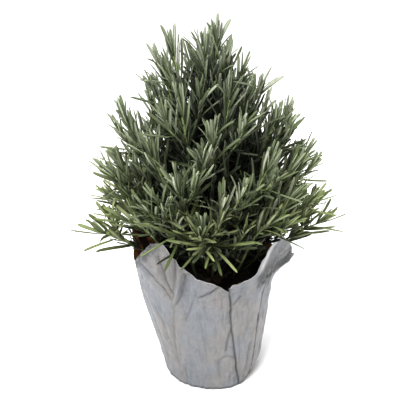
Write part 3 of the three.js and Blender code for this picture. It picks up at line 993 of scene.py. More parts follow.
    def rim(self, azimuth: float) -> Pair:
        """Height and radius of the rim at an azimuth, in metres."""
        azimuth = (azimuth + 90.0) % 360.0 - 90.0
        marks = self.rim_marks
        end = next((k for k, mark in enumerate(marks) if mark[0] > azimuth), len(marks) - 1)
        (a0, z0, r0), (a1, z1, r1) = marks[end - 1], marks[end]
        share = (azimuth - a0) / (a1 - a0)
        return lerp(z0, z1, share) * MM, lerp(r0, r1, share) * MM

    def soft_rim(self, azimuth: float) -> Pair:
        """Height and radius of the rim, with its turns rounded off behind."""
        if not self.soft_back[0] < azimuth < self.soft_back[1]:
            return self.rim(azimuth)
        near = [self.rim(azimuth + away) for away in self.softening]
        return sum(height for height, _ in near) / len(near), sum(radius for _, radius in near) / len(near)

    def wall_radius(self, height: float) -> float:
        """Radius of the bare wall at a height."""
        return self.base_radius + self.taper * height

    def centre(self, height: float) -> float:
        """Shift of the centre line to the left at a height."""
        return -self.lean * smooth(height, 0.0, self.shoulder)

    def folded(self, pleat: Pleat) -> list[Column]:
        """The columns of one pleat: beside its edge, back under it and out again.

        Args:
            pleat: the pleat.

        Returns:
            The columns in the sheet's own order, from left to right.
        """
        way = float(pleat.on_top.value)
        here = pleat.shoulder
        columns = [
            Column(here - way * away * pleat.gap, shade=shade) for away, shade in self.gap_shades
        ]
        insets = [way * step / self.fold_steps for step in range(self.fold_steps + 1)]
        columns += [Column(here, LOWEST, pleat, inset, 1.0) for inset in insets]
        columns.append(Column(here, (LOWEST + MIDDLE) / 2, pleat, way * self.turn_inset, 1.0))
        columns += [Column(here, MIDDLE, pleat, inset, 1.0) for inset in reversed(insets)]
        # Painted shade on the free edge and on the line beside it.
        shade = pleat.dark if pleat.line else 0.0
        edge_shade = max(self.edge_shade, shade)
        columns.append(Column(here, (MIDDLE + TOP) / 2, pleat, way * self.edge_inset, edge_shade))
        columns.append(Column(here, TOP, pleat, 0.0, shade))
        if pleat.line:
            columns.append(Column(here + way * pleat.line, TOP, shade=shade))
        return columns if pleat.on_top is OnTop.RIGHT else columns[::-1]

    def columns(self) -> list[Column]:
        """The sheet's upright lines, from the left side round to the left side again."""
        columns: list[Column] = []
        azimuth = -90.0
        layer = LOWEST
        for pleat in self.pleats:
            to_right = pleat.on_top is OnTop.RIGHT
            margin = self.gap_shades[0][0] * pleat.gap + self.step_degrees / 2
            while azimuth < pleat.shoulder - (margin if to_right else self.step_degrees / 2):
                columns.append(Column(azimuth, layer))
                azimuth += self.step_degrees
            columns += self.folded(pleat)
            layer = TOP if to_right else LOWEST
            azimuth = pleat.shoulder + (self.step_degrees if to_right else margin)
        while azimuth < 270.0 - self.step_degrees / 2:
            columns.append(Column(azimuth, layer))
            azimuth += self.step_degrees
        return columns

    def drift(self, azimuth: float, climb: float) -> float:
        """How far the sheet is drawn aside by leaning pleats, in degrees."""
        total = 0.0
        for pleat in self.pleats:
            away = azimuth - pleat.shoulder
            near = max(0.0, 1.0 - abs(away) / pleat.reach[away > 0.0])
            total += (pleat.edge(climb) - pleat.shoulder) * near * near * (3.0 - 2.0 * near)
        return total

    def climb(self, row: int) -> float:
        """How high a row is: 0 at the base, 1 at the shoulder and 2 at the rim."""
        if row < self.wall_rows:
            return row / (self.wall_rows - 1)
        return 1.0 + (row - self.wall_rows + 1) / self.collar_rows

    def spot(self, column: Column, climb: float) -> Four:
        """Azimuth, height, radius and centre of one point of the sheet."""
        if column.pleat:
            azimuth = column.pleat.edge(climb) + column.inset * column.pleat.width
        else:
            azimuth = column.azimuth + self.drift(column.azimuth, climb)
        if climb <= 1.0:
            height = self.edge_round + (self.shoulder - self.edge_round) * climb
            radius = self.wall_radius(height)
        else:
            rim_height, rim_radius = self.soft_rim(azimuth)
            rim_height += self.notch(column, azimuth)
            height = lerp(self.shoulder, rim_height, climb - 1.0)
            radius = lerp(self.wall_radius(self.shoulder), rim_radius, climb - 1.0)
        radius += column.layer * self.layer_gap
        if column.layer == TOP:
            radius += self.lip_at(azimuth, climb)
        elif column.pleat:
            radius -= self.tuck * smooth(abs(column.inset), 0.1, 0.5)
        return azimuth, height, radius, self.centre(height)

    def lip_at(self, azimuth: float, climb: float) -> float:
        """How far the top layer lifts off near the free edge of a pleat."""
        away, lift = min((abs(azimuth - pleat.edge(climb)), pleat.lift) for pleat in self.pleats)
        mean, swing, pace = self.lip_waves
        wave = mean + swing * math.sin(climb * pace + azimuth)
        return self.lip * lift * wave * max(0.0, 1.0 - away / self.lip_width) ** 2

    def notch(self, column: Column, azimuth: float) -> float:
        """How much the rim steps up or down beside the front pleat."""
        away = azimuth - self.pleats[0].rim
        (down, width), (up, up_width) = self.step_down, self.step_up
        if column.layer < MIDDLE and abs(away) < width:
            return -down * (1.0 - abs(away) / width)
        if column.layer >= MIDDLE and 0.0 <= away + 1.0 < up_width:
            return up * (1.0 - (away + 1.0) / up_width)
        return 0.0

    def all_creases(self) -> list[Crease]:
        """The creases seen in front, and like ones that fan out below the back corners."""
        creases = list(self.creases)
        dice = random.Random(41)
        for corner in self.back_corners:
            height, _ = self.rim(corner)
            for side in self.fan:
                top = (corner + side * 5.0, height / MM - 6.0)
                low = (corner + side * dice.uniform(12, 18), dice.uniform(96, 112))
                middle = (lerp(top[0], low[0], 0.4), lerp(top[1], low[1], 0.5))
                creases.append(Crease((top, middle, low), dice.uniform(0.9, 1.6)))
        for _ in range(self.loose_creases):
            azimuth, height = dice.uniform(62, 266), dice.uniform(30, 100)
            end = (azimuth + dice.uniform(-9, 9), max(4.0, height - dice.uniform(18, 50)))
            creases.append(Crease(((azimuth, height), end), dice.uniform(0.5, 1.1), dice.uniform(2.4, 4.0)))
        return creases

    def distance(self, sheet: Sheet, path: Marks) -> np.ndarray:
        """Distance of every point from a path on the sheet, in millimetres.

        Args:
            sheet: the points.
            path: azimuths in degrees and heights in millimetres.

        Returns:
            The distances.
        """
        degree = math.radians(1.0) * self.mean_radius
        x, z = sheet.azimuths * degree, sheet.heights / MM
        nearest = np.full_like(x, np.inf)
        for (a0, z0), (a1, z1) in zip(path, path[1:]):
            x0 = a0 * degree
            across, up = a1 * degree - x0, z1 - z0
            share = ((x - x0) * across + (z - z0) * up) / (across ** 2 + up ** 2)
            share = np.clip(share, 0.0, 1.0)
            nearest = np.minimum(nearest, np.hypot(x - x0 - share * across, z - z0 - share * up))
        return nearest

    def pressed(self, sheet: Sheet) -> tuple[np.ndarray, np.ndarray]:
        """How the creases move the sheet in and out, and how much painted shade they put in it.

        Args:
            sheet: the points.

        Returns:
            The movement in metres, and the painted shade, a share from 0 to 1.
        """
        moved = np.zeros_like(sheet.heights)
        dark = np.zeros_like(sheet.heights)
        lip_place, lip_height = self.crease_lips
        darkest, depth_per_shade = self.crease_dark
        for crease in self.all_creases():
            nearest = self.distance(sheet, crease.path)
            valley = fading(nearest, crease.width)
            lips = np.exp(-((nearest - lip_place * crease.width) / crease.width) ** 2)
            moved -= crease.depth * (valley ** 1.3 - lip_height * lips) * MM
            if crease.depth > 0:
                dark = np.maximum(dark, valley ** 4 * min(darkest, crease.depth / depth_per_shade))
        return moved, dark

    def rumpled(self, sheet: Sheet) -> tuple[np.ndarray, np.ndarray]:
        """Soft wrinkles all over: long and upright on the wall, freer in the collar.

        Args:
            sheet: the points.

        Returns:
            The movement in metres, and how deep in a fine wrinkle each point is, from 0 to 1.
        """
        moved = np.zeros_like(sheet.heights)
        fine = np.zeros_like(sheet.heights)
        for index in np.ndindex(moved.shape):
            angle = math.radians(sheet.azimuths[index])
            x, y = math.sin(angle) * self.mean_radius, math.cos(angle) * self.mean_radius
            z = sheet.heights[index] / MM
            free = smooth(z, 90.0, 125.0)
            low = 1.0 - smooth(z, 6.0, 40.0)
            upright = noise.fractal(Vector((x * 0.13, y * 0.13, z * 0.018)), 0.9, 2.1, 3)
            crumple = noise.fractal(Vector((x * 0.2, y * 0.2, z * 0.14)), 0.8, 2.2, 3)
            flow = noise.noise(Vector((x * 0.05, y * 0.05, z * 0.03 + 7.0)))
            long_fold = abs(noise.noise(Vector((x * 0.11, y * 0.11, z * 0.012 + 3.0))))
            short_fold = abs(noise.noise(Vector((x * 0.16 + 9.0, y * 0.16, z * (0.03 + 0.05 * free)))))
            valley = max(0.0, 1.0 - long_fold / 0.09) * 0.7 + max(0.0, 1.0 - short_fold / 0.07) * 0.45
            fine[index] = min(1.0, valley) ** 2
            soft = 0.8 * upright + (0.35 + 0.55 * low + 0.35 * free) * crumple + 0.9 * free * flow
            moved[index] = (soft - valley) * MM
        return moved, fine

    def painted(self, sheet: Sheet) -> list[np.ndarray]:
        """How the two front corners differ from the wall, each from 0 to 1, in painted shade, painted
        highlight and crumple.

        Args:
            sheet: the points.

        Returns:
            How much painted shade, painted highlight and crumple each point has.
        """
        azimuths = sheet.azimuths
        edges = (self.left_edge, self.right_edge, self.right_hem)
        left, right, hem = (self.distance(sheet, path) for path in edges)
        over_hem = sheet.heights / MM - np.interp(azimuths, *zip(*self.right_hem))
        corner = fading(left, self.edge_width) * (azimuths < self.left_end)
        flap = rising(azimuths, *self.flap_start) * rising(over_hem, 0.0, self.flap_rise)
        flap = flap * (azimuths < self.flap_end)
        place, width = self.band
        start, length = self.band_end
        band = np.exp(-((right - place) / width) ** 2) * flap * fading(azimuths - start, length)
        strip = rising(azimuths, *self.strip_start) * (hem < self.strip_width) * (over_hem < 0.0)
        dark = np.maximum(self.flap_dark * flap * (1.0 - band), self.strip_dark * strip)
        dark = np.maximum(dark, self.edge_dark * corner ** 0.7)
        pale = np.maximum(band, self.hem_pale * fading(hem, self.hem_width) * flap)
        most = self.crumple_place
        crumpled = np.maximum(corner, flap * fading(np.abs(hem - most), most))
        return [dark, pale, crumpled]

    def corner(self, sheet: Sheet) -> np.ndarray:
        """How far the foot is pressed in, in front on the right, where it is rounder."""
        soft, full = self.soft_corner, self.full_corner
        near = fading(np.abs(sheet.azimuths - soft.azimuth), soft.width)
        stout = fading(np.abs(sheet.azimuths - full.azimuth), full.width)
        low = fading(sheet.heights, self.bend_height)
        return (soft.depth * near * (2.0 - near) * low * low - full.depth * stout * stout * low) * MM

    def floor_rings(self, lowest: np.ndarray) -> list[np.ndarray]:
        """The rings of the flat floor and of its rounded edge, out to the lowest row."""
        flat = 1.0 - self.edge_round / self.base_radius
        shares = [(0.35, 0.0), (0.7, 0.0), (flat, 0.0)]
        shares += [(lerp(flat, 1.0, out), up) for out, up in ((0.62, 0.12), (0.92, 0.45))]
        rings = []
        for across, up in shares:
            ring = lowest * across
            ring[:, 2] = self.edge_round * up
            rings.append(ring)
        return rings

    def build(self, outside: Dress, inside: Dress) -> Piece:
        """Makes the wrap.

        Args:
            outside: the coated face of the paper.
            inside: its bare face.

        Returns:
            The finished piece.
        """
        columns = self.columns()
        count = len(columns)
        rows = [self.climb(row) for row in range(self.wall_rows + self.collar_rows)]
        spots = np.array([[self.spot(column, climb) for column in columns] for climb in rows])
        azimuths, heights, radii, centres = np.moveaxis(spots, -1, 0)
        sheet = Sheet(azimuths, heights)
        moved, crease = self.pressed(sheet)
        wrinkles, fine = self.rumpled(sheet)
        radii = radii + moved + wrinkles - self.corner(sheet)
        dark, pale, crumpled = self.painted(sheet)
        # Painted shade: crease valleys, fine wrinkles, the front corners, pleat gaps and a line along the
        # foot, which also covers the underside.
        foot = self.foot_dark * fading(heights - self.edge_round, self.foot_line)
        gaps = np.array([column.shade for column in columns])
        for shade in (fine * self.fine_dark, dark, gaps, foot):
            crease = np.maximum(crease, shade)
        edge = np.zeros_like(crease)
        edge[-1] = 1.0
        ripple = np.array([noise.noise(Vector((azimuth * 0.16, 3.0, 0.0))) for azimuth in azimuths[-1]])
        heights[-1] += ripple * self.rim_ripple
        angles = np.radians(azimuths)
        grid = np.stack([centres + radii * np.sin(angles), -radii * np.cos(angles), heights], axis=-1)
        floor_rings = self.floor_rings(grid[0])
        rings = floor_rings + list(grid)
        points = [(0.0, 0.0, 0.0)] + [tuple(point) for ring in rings for point in ring]
        every = list(range(count))
        outer = [k for k in every if columns[k].pleat is None or columns[k].layer == TOP]
        faces = [(0, 1 + right, 1 + left) for left, right in zip(outer, outer[1:] + outer[:1])]
        for ring in range(len(rings) - 1):
            base, above = 1 + ring * count, 1 + (ring + 1) * count
            used = outer if ring < len(floor_rings) else every
            pairs = zip(used, used[1:] + used[:1])
            faces += [(base + left, base + right, above + right, above + left) for left, right in pairs]
        made = new_object("paper_wrap", points, [], faces)
        floor = np.zeros(1 + count * len(floor_rings))
        masks = {"edge": edge, "pale": pale, "crumpled": crumpled}
        store_numbers(made, "crease", np.concatenate([floor + self.foot_dark, crease.ravel()]))
        for name, values in masks.items():
            store_numbers(made, name, np.concatenate([floor, values.ravel()]))
        made.data.materials.append(outside)
        made.data.materials.append(inside)
        thick = made.modifiers.new("paper", "SOLIDIFY")
        thick.thickness = self.paper
        thick.offset = -1.0
        thick.material_offset = 1
        settle(made)
        hand_over(made, "wrap_paper", "pot_wrap")
        return made


# ------- pot, soil and crown


@dataclass(frozen=True)
class NurseryPot:
    """The thin pot inside the wrap. Its shape is the CAD's own."""

    node: str = "nursery_pot"

    def dress(self, finish: Dress) -> None:
        """Gives the pot its finish."""
        pot = frame["nodes"][self.node]
        pot.data.materials.clear()
        pot.data.materials.append(finish)
        LOG.info("%s: kept from the frame", self.node)


@dataclass(frozen=True)
class Crumb:
    """A small uneven lump of twenty faces, about one unit across."""

    name: str
    seed: int
    squash: Place
    size: float = 0.26
    uneven: float = 0.25

    def build(self) -> Piece:
        """Makes the crumb: an icosahedron with edges 2 long, made small and uneven."""
        golden = (1.0 + math.sqrt(5.0)) / 2.0
        corners = []
        for a in (-1.0, 1.0):
            for b in (-golden, golden):
                corners += [Vector((0.0, a, b)), Vector((a, b, 0.0)), Vector((b, 0.0, a))]
        faces = []
        for i, j, k in combinations(range(len(corners)), 3):
            first, second, third = corners[i], corners[j], corners[k]
            if all((a - b).length < 2.1 for a, b in combinations((first, second, third), 2)):
                outwards = (second - first).cross(third - first).dot(first) > 0.0
                faces.append((i, j, k) if outwards else (i, k, j))
        dice = random.Random(self.seed)
        low, high = 1.0 - self.uneven, 1.0 + self.uneven
        points = [
            Vector([c * s * self.size * dice.uniform(low, high) for c, s in zip(corner, self.squash)])
            for corner in corners
        ]
        return new_object(self.name, points, [], faces)


CRUMBS = (
    Crumb("crumb_a", 1, (1.0, 1.0, 0.8)),
    Crumb("crumb_b", 2, (1.5, 0.7, 0.5)),
    Crumb("crumb_c", 3, (0.8, 1.1, 1.0)),
)


def make_crumb_group() -> GeometryGroup:
    """Geometry nodes that strew crumbs over the upward faces of a surface."""
    group = GeometryGroup("strewn_crumbs", {
        "Crumbs": SocketKind.COLLECTION, "Finish": SocketKind.MATERIAL, "Seed": 5,
        "Density": 200000.0, "Smallest": 0.9 * MM, "Largest": 3.4 * MM,
    })
    given = group.entry
    normal = group.add("GeometryNodeInputNormal")["Normal"]
    upward = group.add("ShaderNodeSeparateXYZ", Vector=normal)["Z"]
    scattered = group.add(
        "GeometryNodeDistributePointsOnFaces", {"distribute_method": "RANDOM"}, Mesh=given["Geometry"],
        Selection=group.math("GREATER_THAN", upward, 0.5), Density=given["Density"], Seed=given["Seed"],
    )
    points = group.store(scattered["Points"], "tint", group.draw(0.0, 1.0, 1) ** 2.0)
    size = given["Smallest"] + (given["Largest"] - given["Smallest"]) * group.draw(0.0, 1.0, 4) ** 2.5
    angles = group.vector(group.draw(0.0, 6.3, 2), group.draw(0.0, 6.3, 3), 0.0)
    crumbs = group.add(
        "GeometryNodeInstanceOnPoints", Points=points, Instance=group.shapes(given["Crumbs"]),
        Pick_Instance=True, Instance_Index=group.pick(len(CRUMBS), 0),
        Rotation=group.add("FunctionNodeEulerToRotation", Euler=angles)["Rotation"],
        Scale=group.vector(size, size, size),
    )["Instances"]
    group.give(Geometry=group.dressed(group.joined(given["Geometry"], crumbs), given["Finish"]))
    return group


@dataclass(frozen=True)
class PottingSoil:
    """The block of soil: mounded towards the crown, with loose crumbs on top."""

    floor_height: float = 2.7 * MM
    edge_height: float = 87.5 * MM
    inner_height: float = 92.5 * MM
    well_radius: float = 14.3 * MM
    well_foot_radius: float = 10.3 * MM
    well_foot_height: float = 71.7 * MM
    pot_base_radius: float = 38.5 * MM
    pot_top_radius: float = 51.3 * MM
    pot_height: float = 98.0 * MM
    pot_floor: float = 1.2 * MM
    wall_room: float = 1.6 * MM
    segments: int = 96
    lump_scale: float = 160.0
    lump_height: float = 1.1 * MM

    def edge_radius(self, height: float) -> float:
        """Radius of the soil at a height, just inside the pot's wall."""
        share = (height - self.pot_floor) / self.pot_height
        return lerp(self.pot_base_radius, self.pot_top_radius, share) - self.wall_room

    def profile(self) -> list[Triple]:
        """Radius, height and unevenness of the rings, from the underside round to the well."""
        rings = [(self.edge_radius(self.floor_height), self.floor_height, 0.0)]
        rings += [
            (self.edge_radius(h), h, 0.0)
            for h in np.linspace(20.0 * MM, self.edge_height - 1.0 * MM, 5)
        ]
        outer = self.edge_radius(self.edge_height)
        for share in np.linspace(0.0, 1.0, 22):
            radius = lerp(outer, self.well_radius, share)
            height = lerp(self.edge_height, self.inner_height, smooth(share, 0.0, 1.2) ** 0.8)
            rings.append((radius, height, 1.0))
        rings.append((self.well_foot_radius, self.well_foot_height, 0.0))
        return rings

    def build(self, finish: Dress) -> None:
        """Makes the soil and strews its crumbs."""
        rings = self.profile()
        points = [Vector((0.0, 0.0, self.floor_height))]
        for radius, height, uneven in rings:
            for k in range(self.segments):
                point = around(360.0 * k / self.segments, radius, height)
                lump = noise.fractal(point * self.lump_scale, 0.9, 2.0, 3)
                point.z += uneven * lump * self.lump_height
                points.append(point)
        points.append(Vector((0.0, 0.0, self.well_foot_height)))
        made = new_object("soil_block", points, [], closed_faces(len(rings), self.segments))
        crumbs = ShapeShelf("crumbs", [crumb.build() for crumb in CRUMBS])
        clothe(made, make_crumb_group(), Crumbs=crumbs.collection, Finish=finish)
        crumbs.clear()
        hand_over(made, "soil", "potting_soil")


@dataclass(frozen=True)
class WoodyCrown:
    """The woody foot of the plant: a knuckled dome with grooves down its sides."""

    foot_height: float = 72.0 * MM
    foot_radius: float = 10.0 * MM
    neck_height: float = 92.5 * MM
    neck_radius: float = 14.0 * MM
    dome_height: float = 98.0 * MM
    dome_radius: float = 18.0 * MM
    dome_rise: float = 15.0 * MM
    segments: int = 96
    knuckle: float = 1.2  # how far the knuckles of the dome rise, in millimetres,
    groove: float = 0.9  # how deep its grooves are
    inset: float = 0.5  # and how far it lies back
    top_inset: float = 0.4 * MM

    def seat(self, azimuth: float, sine: float) -> tuple[Vector, Vector]:
        """A point on the dome and the direction that faces away from it there."""
        cosine = math.sqrt(1.0 - sine * sine)
        point = around(azimuth, self.dome_radius * cosine, self.dome_height + self.dome_rise * sine)
        facing = around(azimuth, cosine / self.dome_radius, sine / self.dome_rise).normalized()
        return point, facing

    def profile(self) -> list[Pair]:
        """Radius and height of the rings, from the foot up to just below the top."""
        rings = [
            (lerp(self.foot_radius, self.neck_radius, t), lerp(self.foot_height, self.neck_height, t))
            for t in (0.0, 0.5, 1.0)
        ]
        rings += [
            (lerp(self.neck_radius, self.dome_radius, t), lerp(self.neck_height, self.dome_height, t))
            for t in (0.35, 0.7)
        ]
        for step in range(20):
            angle = step / 20 * math.pi / 2
            height = self.dome_height + self.dome_rise * math.sin(angle)
            rings.append((self.dome_radius * math.cos(angle), height))
        return rings

    def build(self, finish: Dress) -> None:
        """Makes the crown."""
        rings = self.profile()
        middle = Vector((0.0, 0.0, self.dome_height))
        points = [Vector((0.0, 0.0, self.foot_height))]
        for radius, height in rings:
            for k in range(self.segments):
                point = around(360.0 * k / self.segments, radius, height)
                knuckle = noise.noise(point * 190.0)
                groove = noise.noise(Vector((point.x * 520.0, point.y * 520.0, point.z * 90.0)))
                if height > self.neck_height:
                    rise = knuckle * self.knuckle - abs(groove) * self.groove - self.inset
                    point += (point - middle).normalized() * rise * MM
                points.append(point)
        points.append(Vector((0.0, 0.0, self.dome_height + self.dome_rise - self.top_inset)))
        made = new_object("crown_bark", points, [], closed_faces(len(rings), self.segments))
        made.data.materials.append(finish)
        hand_over(made, "bark", "woody_crown")


# ------- stems and leaves


@dataclass(frozen=True)
class LeafBlade:
    """One leaf, a unit long and a unit wide, that grows along +Z with its upper side to -X."""

    name: str
    fold: float  # how far the edges rise, in widths; below 0 they roll under
    curl: float  # how far the tip leans to the upper side, in widths
    sway: float  # how far it leans to one side
    twist: float  # turn from foot to tip, in radians
    rings: tuple[float, ...] = (0.0, 0.1, 0.3, 0.55, 0.8, 0.92, 0.975)

    def half_width(self, along: float) -> float:
        """Half the width at a share of the length: narrow at the foot, blunt at the tip."""
        body = lerp(0.4, 1.0, smooth(along, 0.0, 0.4))
        blunt = max(0.0, 1.0 - (max(0.0, along - 0.78) / 0.22) ** 2.4) ** 0.5
        return 0.5 * body * blunt

    def section(self, along: float) -> list[Vector]:
        """The six corners of the blade's section: edge, ridge, groove, ridge, edge and keel."""
        half = self.half_width(along)
        thick = 0.6 * half
        corners = [(0.0, half), (-0.3 * thick, half * 0.55), (-0.06 * thick, 0.0),
                   (-0.3 * thick, -half * 0.55), (0.0, -half), (0.55 * thick, 0.0)]
        return [self.bent(Vector((x - self.fold * abs(y) * 2.0 * half, y, along))) for x, y in corners]

    def bent(self, point: Vector) -> Vector:
        """The point after the blade has curled, swayed and twisted."""
        turned = Matrix.Rotation(self.twist * point.z, 3, "Z") @ point
        turned.x -= self.curl * point.z ** 2
        turned.y += self.sway * point.z ** 2
        return turned

    def build(self) -> Piece:
        """Makes the leaf, with its own upper, along and leaf."""
        points = [self.bent(Vector((0.0, 0.0, 0.0)))]
        upper = [0.5]
        for along in self.rings:
            points += self.section(along)
            upper += [0.5, 1.0, 1.0, 1.0, 0.5, 0.0]
        points.append(self.bent(Vector((0.0, 0.0, 1.0))))
        upper.append(0.5)
        made = new_object(self.name, points, [], closed_faces(len(self.rings), 6))
        store_numbers(made, "upper", upper)
        store_numbers(made, "along", [point.z for point in points])
        store_numbers(made, "leaf", [1.0] * len(points))
        return made


LEAF_SHAPES = (
    LeafBlade("leaf_a", fold=0.35, curl=0.9, sway=0.3, twist=0.1),
    LeafBlade("leaf_b", fold=-0.2, curl=-1.4, sway=-0.8, twist=-0.3),
    LeafBlade("leaf_c", fold=0.5, curl=2.3, sway=0.6, twist=0.4),
    LeafBlade("leaf_d", fold=0.15, curl=-2.6, sway=0.3, twist=0.5),
    LeafBlade("leaf_e", fold=-0.3, curl=-0.4, sway=-1.2, twist=-0.5),
    LeafBlade("leaf_f", fold=0.6, curl=1.4, sway=1.2, twist=0.2),
)


UP = (0.0, 0.0, 1.0)
TUFT_CLIMB = 0.97  # the nodes above it bear a tuft
BUSH_FULLNESS = 1.9  # the power of the curve that the bush's outline follows


def outwardness(group: GeometryGroup) -> Field:
    """How near a point is to the outline of the bush: 1 on it and less inside; the leaves' painted shade
    follows it.

    Args:
        group: a group with the inputs Bush Foot, Bush Top, Bush Radius and Bush Shade.

    Returns:
        The number.
    """
    given = group.entry
    foot, top, radius = given["Bush Foot"], given["Bush Top"], given["Bush Radius"]
    spot = group.add("ShaderNodeSeparateXYZ", Vector=group.position())
    off_axis = group.math("SQRT", spot["X"] * spot["X"] + spot["Y"] * spot["Y"])
    rise = group.span(spot["Z"], foot, top)
    beside = radius * (1.0 - rise ** BUSH_FULLNESS) - off_axis
    inwards = 1.0 - group.math("MINIMUM", off_axis / radius, 1.0)
    above = (top - foot) * inwards ** (1.0 / BUSH_FULLNESS) + foot - spot["Z"]
    return 1.0 - group.math("MINIMUM", beside, above * 0.7) / given["Bush Shade"]


def make_shoot_group() -> GeometryGroup:
    """Geometry nodes that clothe lines in square stems with crossed pairs of leaves.

    Returns:
        A group whose geometry is a mesh of open lines. Each point of a line holds half_width,
        bare (the share of the line without leaves), vigour and woody.
    """
    group = GeometryGroup("leafy_shoots", {
        "Leaf Shapes": SocketKind.COLLECTION, "Wrap": SocketKind.OBJECT, "Seed": 1,
        "Leaf Finish": SocketKind.MATERIAL, "Stem Finish": SocketKind.MATERIAL,
        "Leaf Length": 39.0 * MM, "Tip Leaf Length": 31.0 * MM, "Leaf Width": 3.05 * MM,
        "Pair Spacing": 7.8 * MM, "Crowding": 1.2, "Lift": 0.22, "Facing Up": 0.9,
        "Low Spread": math.radians(52.0), "Tip Spread": math.radians(20.0),
        "Overhang": 45.0 * MM, "Headroom": 18.0 * MM, "Bush Foot": 165.0 * MM,
        "Bush Top": 330.0 * MM, "Bush Radius": 82.0 * MM, "Bush Shade": 36.0 * MM,
    })
    given = group.entry
    lines = group.add("GeometryNodeMeshToCurve", Mesh=given["Geometry"])["Curve"]
    square = group.add("GeometryNodeCurvePrimitiveQuadrilateral", Width=2.0, Height=2.0)["Curve"]
    profile = group.add("GeometryNodeFilletCurve", {"mode": "POLY"}, Curve=square, Count=1, Radius=0.45)
    stem = group.add(
        "GeometryNodeCurveToMesh", Curve=lines, Profile_Curve=profile["Curve"],
        Scale=group.named("half_width"), Fill_Caps=True,
    )["Mesh"]

    bare = group.named("bare")
    length = group.add("GeometryNodeSplineLength")["Length"]
    count = length * (1.0 - bare) / given["Pair Spacing"] + 2.0
    even = group.add("GeometryNodeResampleCurve", {"mode": "COUNT"}, Curve=lines, Count=count)["Curve"]
    parameter = group.add("GeometryNodeSplineParameter")
    climb = 1.0 - (1.0 - parameter["Factor"]) ** given["Crowding"]
    sample = group.add(
        "GeometryNodeSampleCurve", {"mode": "FACTOR", "use_all_curves": False, "data_type": "FLOAT"},
        Curves=lines, Factor=bare + (1.0 - bare) * climb,
        Curve_Index=group.add("GeometryNodeCurveOfPoint")["Curve Index"],
    )
    kept = group.capture(
        even, Place=("VECTOR", sample["Position"]), Tangent=("VECTOR", sample["Tangent"]),
        Normal=("VECTOR", sample["Normal"]), Climb=("FLOAT", climb), Rank=("INT", parameter["Index"]),
    )
    placed = group.add("GeometryNodeSetPosition", Geometry=kept["Geometry"], Position=kept["Place"])
    nodes = group.add("GeometryNodeCurveToPoints", {"mode": "EVALUATED"}, Curve=placed["Geometry"])["Points"]
    upright = group.facing(kept["Tangent"], kept["Normal"])
    climbed, rank, vigour = kept["Climb"], kept["Rank"], group.named("vigour")
    wrap_info = group.add("GeometryNodeObjectInfo", {"transform_space": "RELATIVE"}, Object=given["Wrap"])
    wrap = wrap_info["Geometry"]
    shapes = group.shapes(given["Leaf Shapes"])
    outer = outwardness(group)

    def leaves(purpose: int, chosen: Feed, amount: int, azimuth: Callable[[Field], Field], spread: Field,
               long: Field, wide: Field) -> Field:
        """Grows some leaves at every chosen node.

        Args:
            purpose: keeps this set's random draws apart from those of the others.
            chosen: which nodes bear such leaves.
            amount: how many at each node.
            azimuth: gives a leaf's turn about the stem from its number at the node.
            spread: angle between leaf and stem, in radians.
            long: length of a leaf.
            wide: width of a leaf.

        Returns:
            The leaves as instances, without those that would meet the wrap or hang too far past it.
        """
        copies = group.add(
            "GeometryNodeDuplicateElements", {"domain": "POINT"}, Geometry=nodes, Selection=chosen,
            Amount=amount,
        )
        points = group.store(copies["Geometry"], "tint", group.draw(0.0, 1.0, purpose))
        points = group.store(points, "youth", climbed)
        points = group.store(points, "outer", outer)
        about_stem = azimuth(copies["Duplicate Index"]) + group.draw(-0.22, 0.22, purpose + 1)
        turned = group.turn(upright, UP, about_stem)
        turned = group.turn(turned, (0.0, 1.0, 0.0), spread * group.draw(0.82, 1.2, purpose + 2))
        turned = group.turn(turned, UP, group.draw(-0.3, 0.3, purpose + 3))
        reach = long * vigour * group.draw(0.78, 1.12, purpose + 4)
        lift, facing_up = (group.vector(0.0, 0.0, given[name]) for name in ("Lift", "Facing Up"))
        axis = group.vectors("ADD", group.turned_axis(UP, turned), lift)
        below = group.vectors("SUBTRACT", group.turned_axis((1.0, 0.0, 0.0), turned), facing_up)
        hit = group.meets(wrap, group.position(), axis, reach * 1.15)
        lowered = group.vectors("SUBTRACT", group.position(), group.vector(0.0, 0.0, given["Headroom"]))
        tip = group.vectors("MULTIPLY_ADD", axis, group.vector(reach, reach, reach), lowered)
        inwards = group.vectors("MULTIPLY", tip, (-1.0, -1.0, 0.0))
        outside = group.meets(wrap, tip, inwards, given["Overhang"])
        breadth = wide * group.draw(0.85, 1.12, purpose + 6)
        return group.add(
            "GeometryNodeInstanceOnPoints", Points=points, Selection=(1.0 - hit) * (1.0 - outside),
            Instance=shapes, Pick_Instance=True, Instance_Index=group.pick(len(LEAF_SHAPES), purpose + 5),
            Rotation=group.facing(axis, below), Scale=group.vector(breadth, breadth, reach),
        )["Instances"]

    quarter = math.pi / 2
    tip_spread, tip_long, wide = given["Tip Spread"], given["Tip Leaf Length"], given["Leaf Width"]
    spread = tip_spread + (given["Low Spread"] - tip_spread) * (1.0 - climbed ** 1.5)
    long = tip_long + (given["Leaf Length"] - tip_long) * (1.0 - climbed ** 1.6)
    pairs = leaves(
        10, group.math("LESS_THAN", climbed, TUFT_CLIMB), 2, lambda k: k * math.pi + rank * quarter,
        spread, long, wide,
    )
    axils = leaves(
        20, group.math("LESS_THAN", climbed, 0.8), 4, lambda k: k * quarter + rank * quarter + 0.35,
        spread * 0.55, long * 0.45, wide * 0.62,
    )
    tuft = leaves(
        30, group.math("GREATER_THAN", climbed, TUFT_CLIMB), 6, lambda k: k * 2.4,
        tip_spread * 0.25 + tip_spread * 0.75 * group.draw(0.1, 1.0, 38),
        tip_long * 0.6 + tip_long * 0.4 * group.draw(0.0, 1.0, 39), wide * 0.8,
    )
    woody = group.dressed(group.joined(stem, pairs, axils, tuft), given["Stem Finish"])
    is_leaf = group.math("GREATER_THAN", group.named("leaf"), 0.5)
    group.give(Geometry=group.dressed(woody, given["Leaf Finish"], is_leaf))
    return group


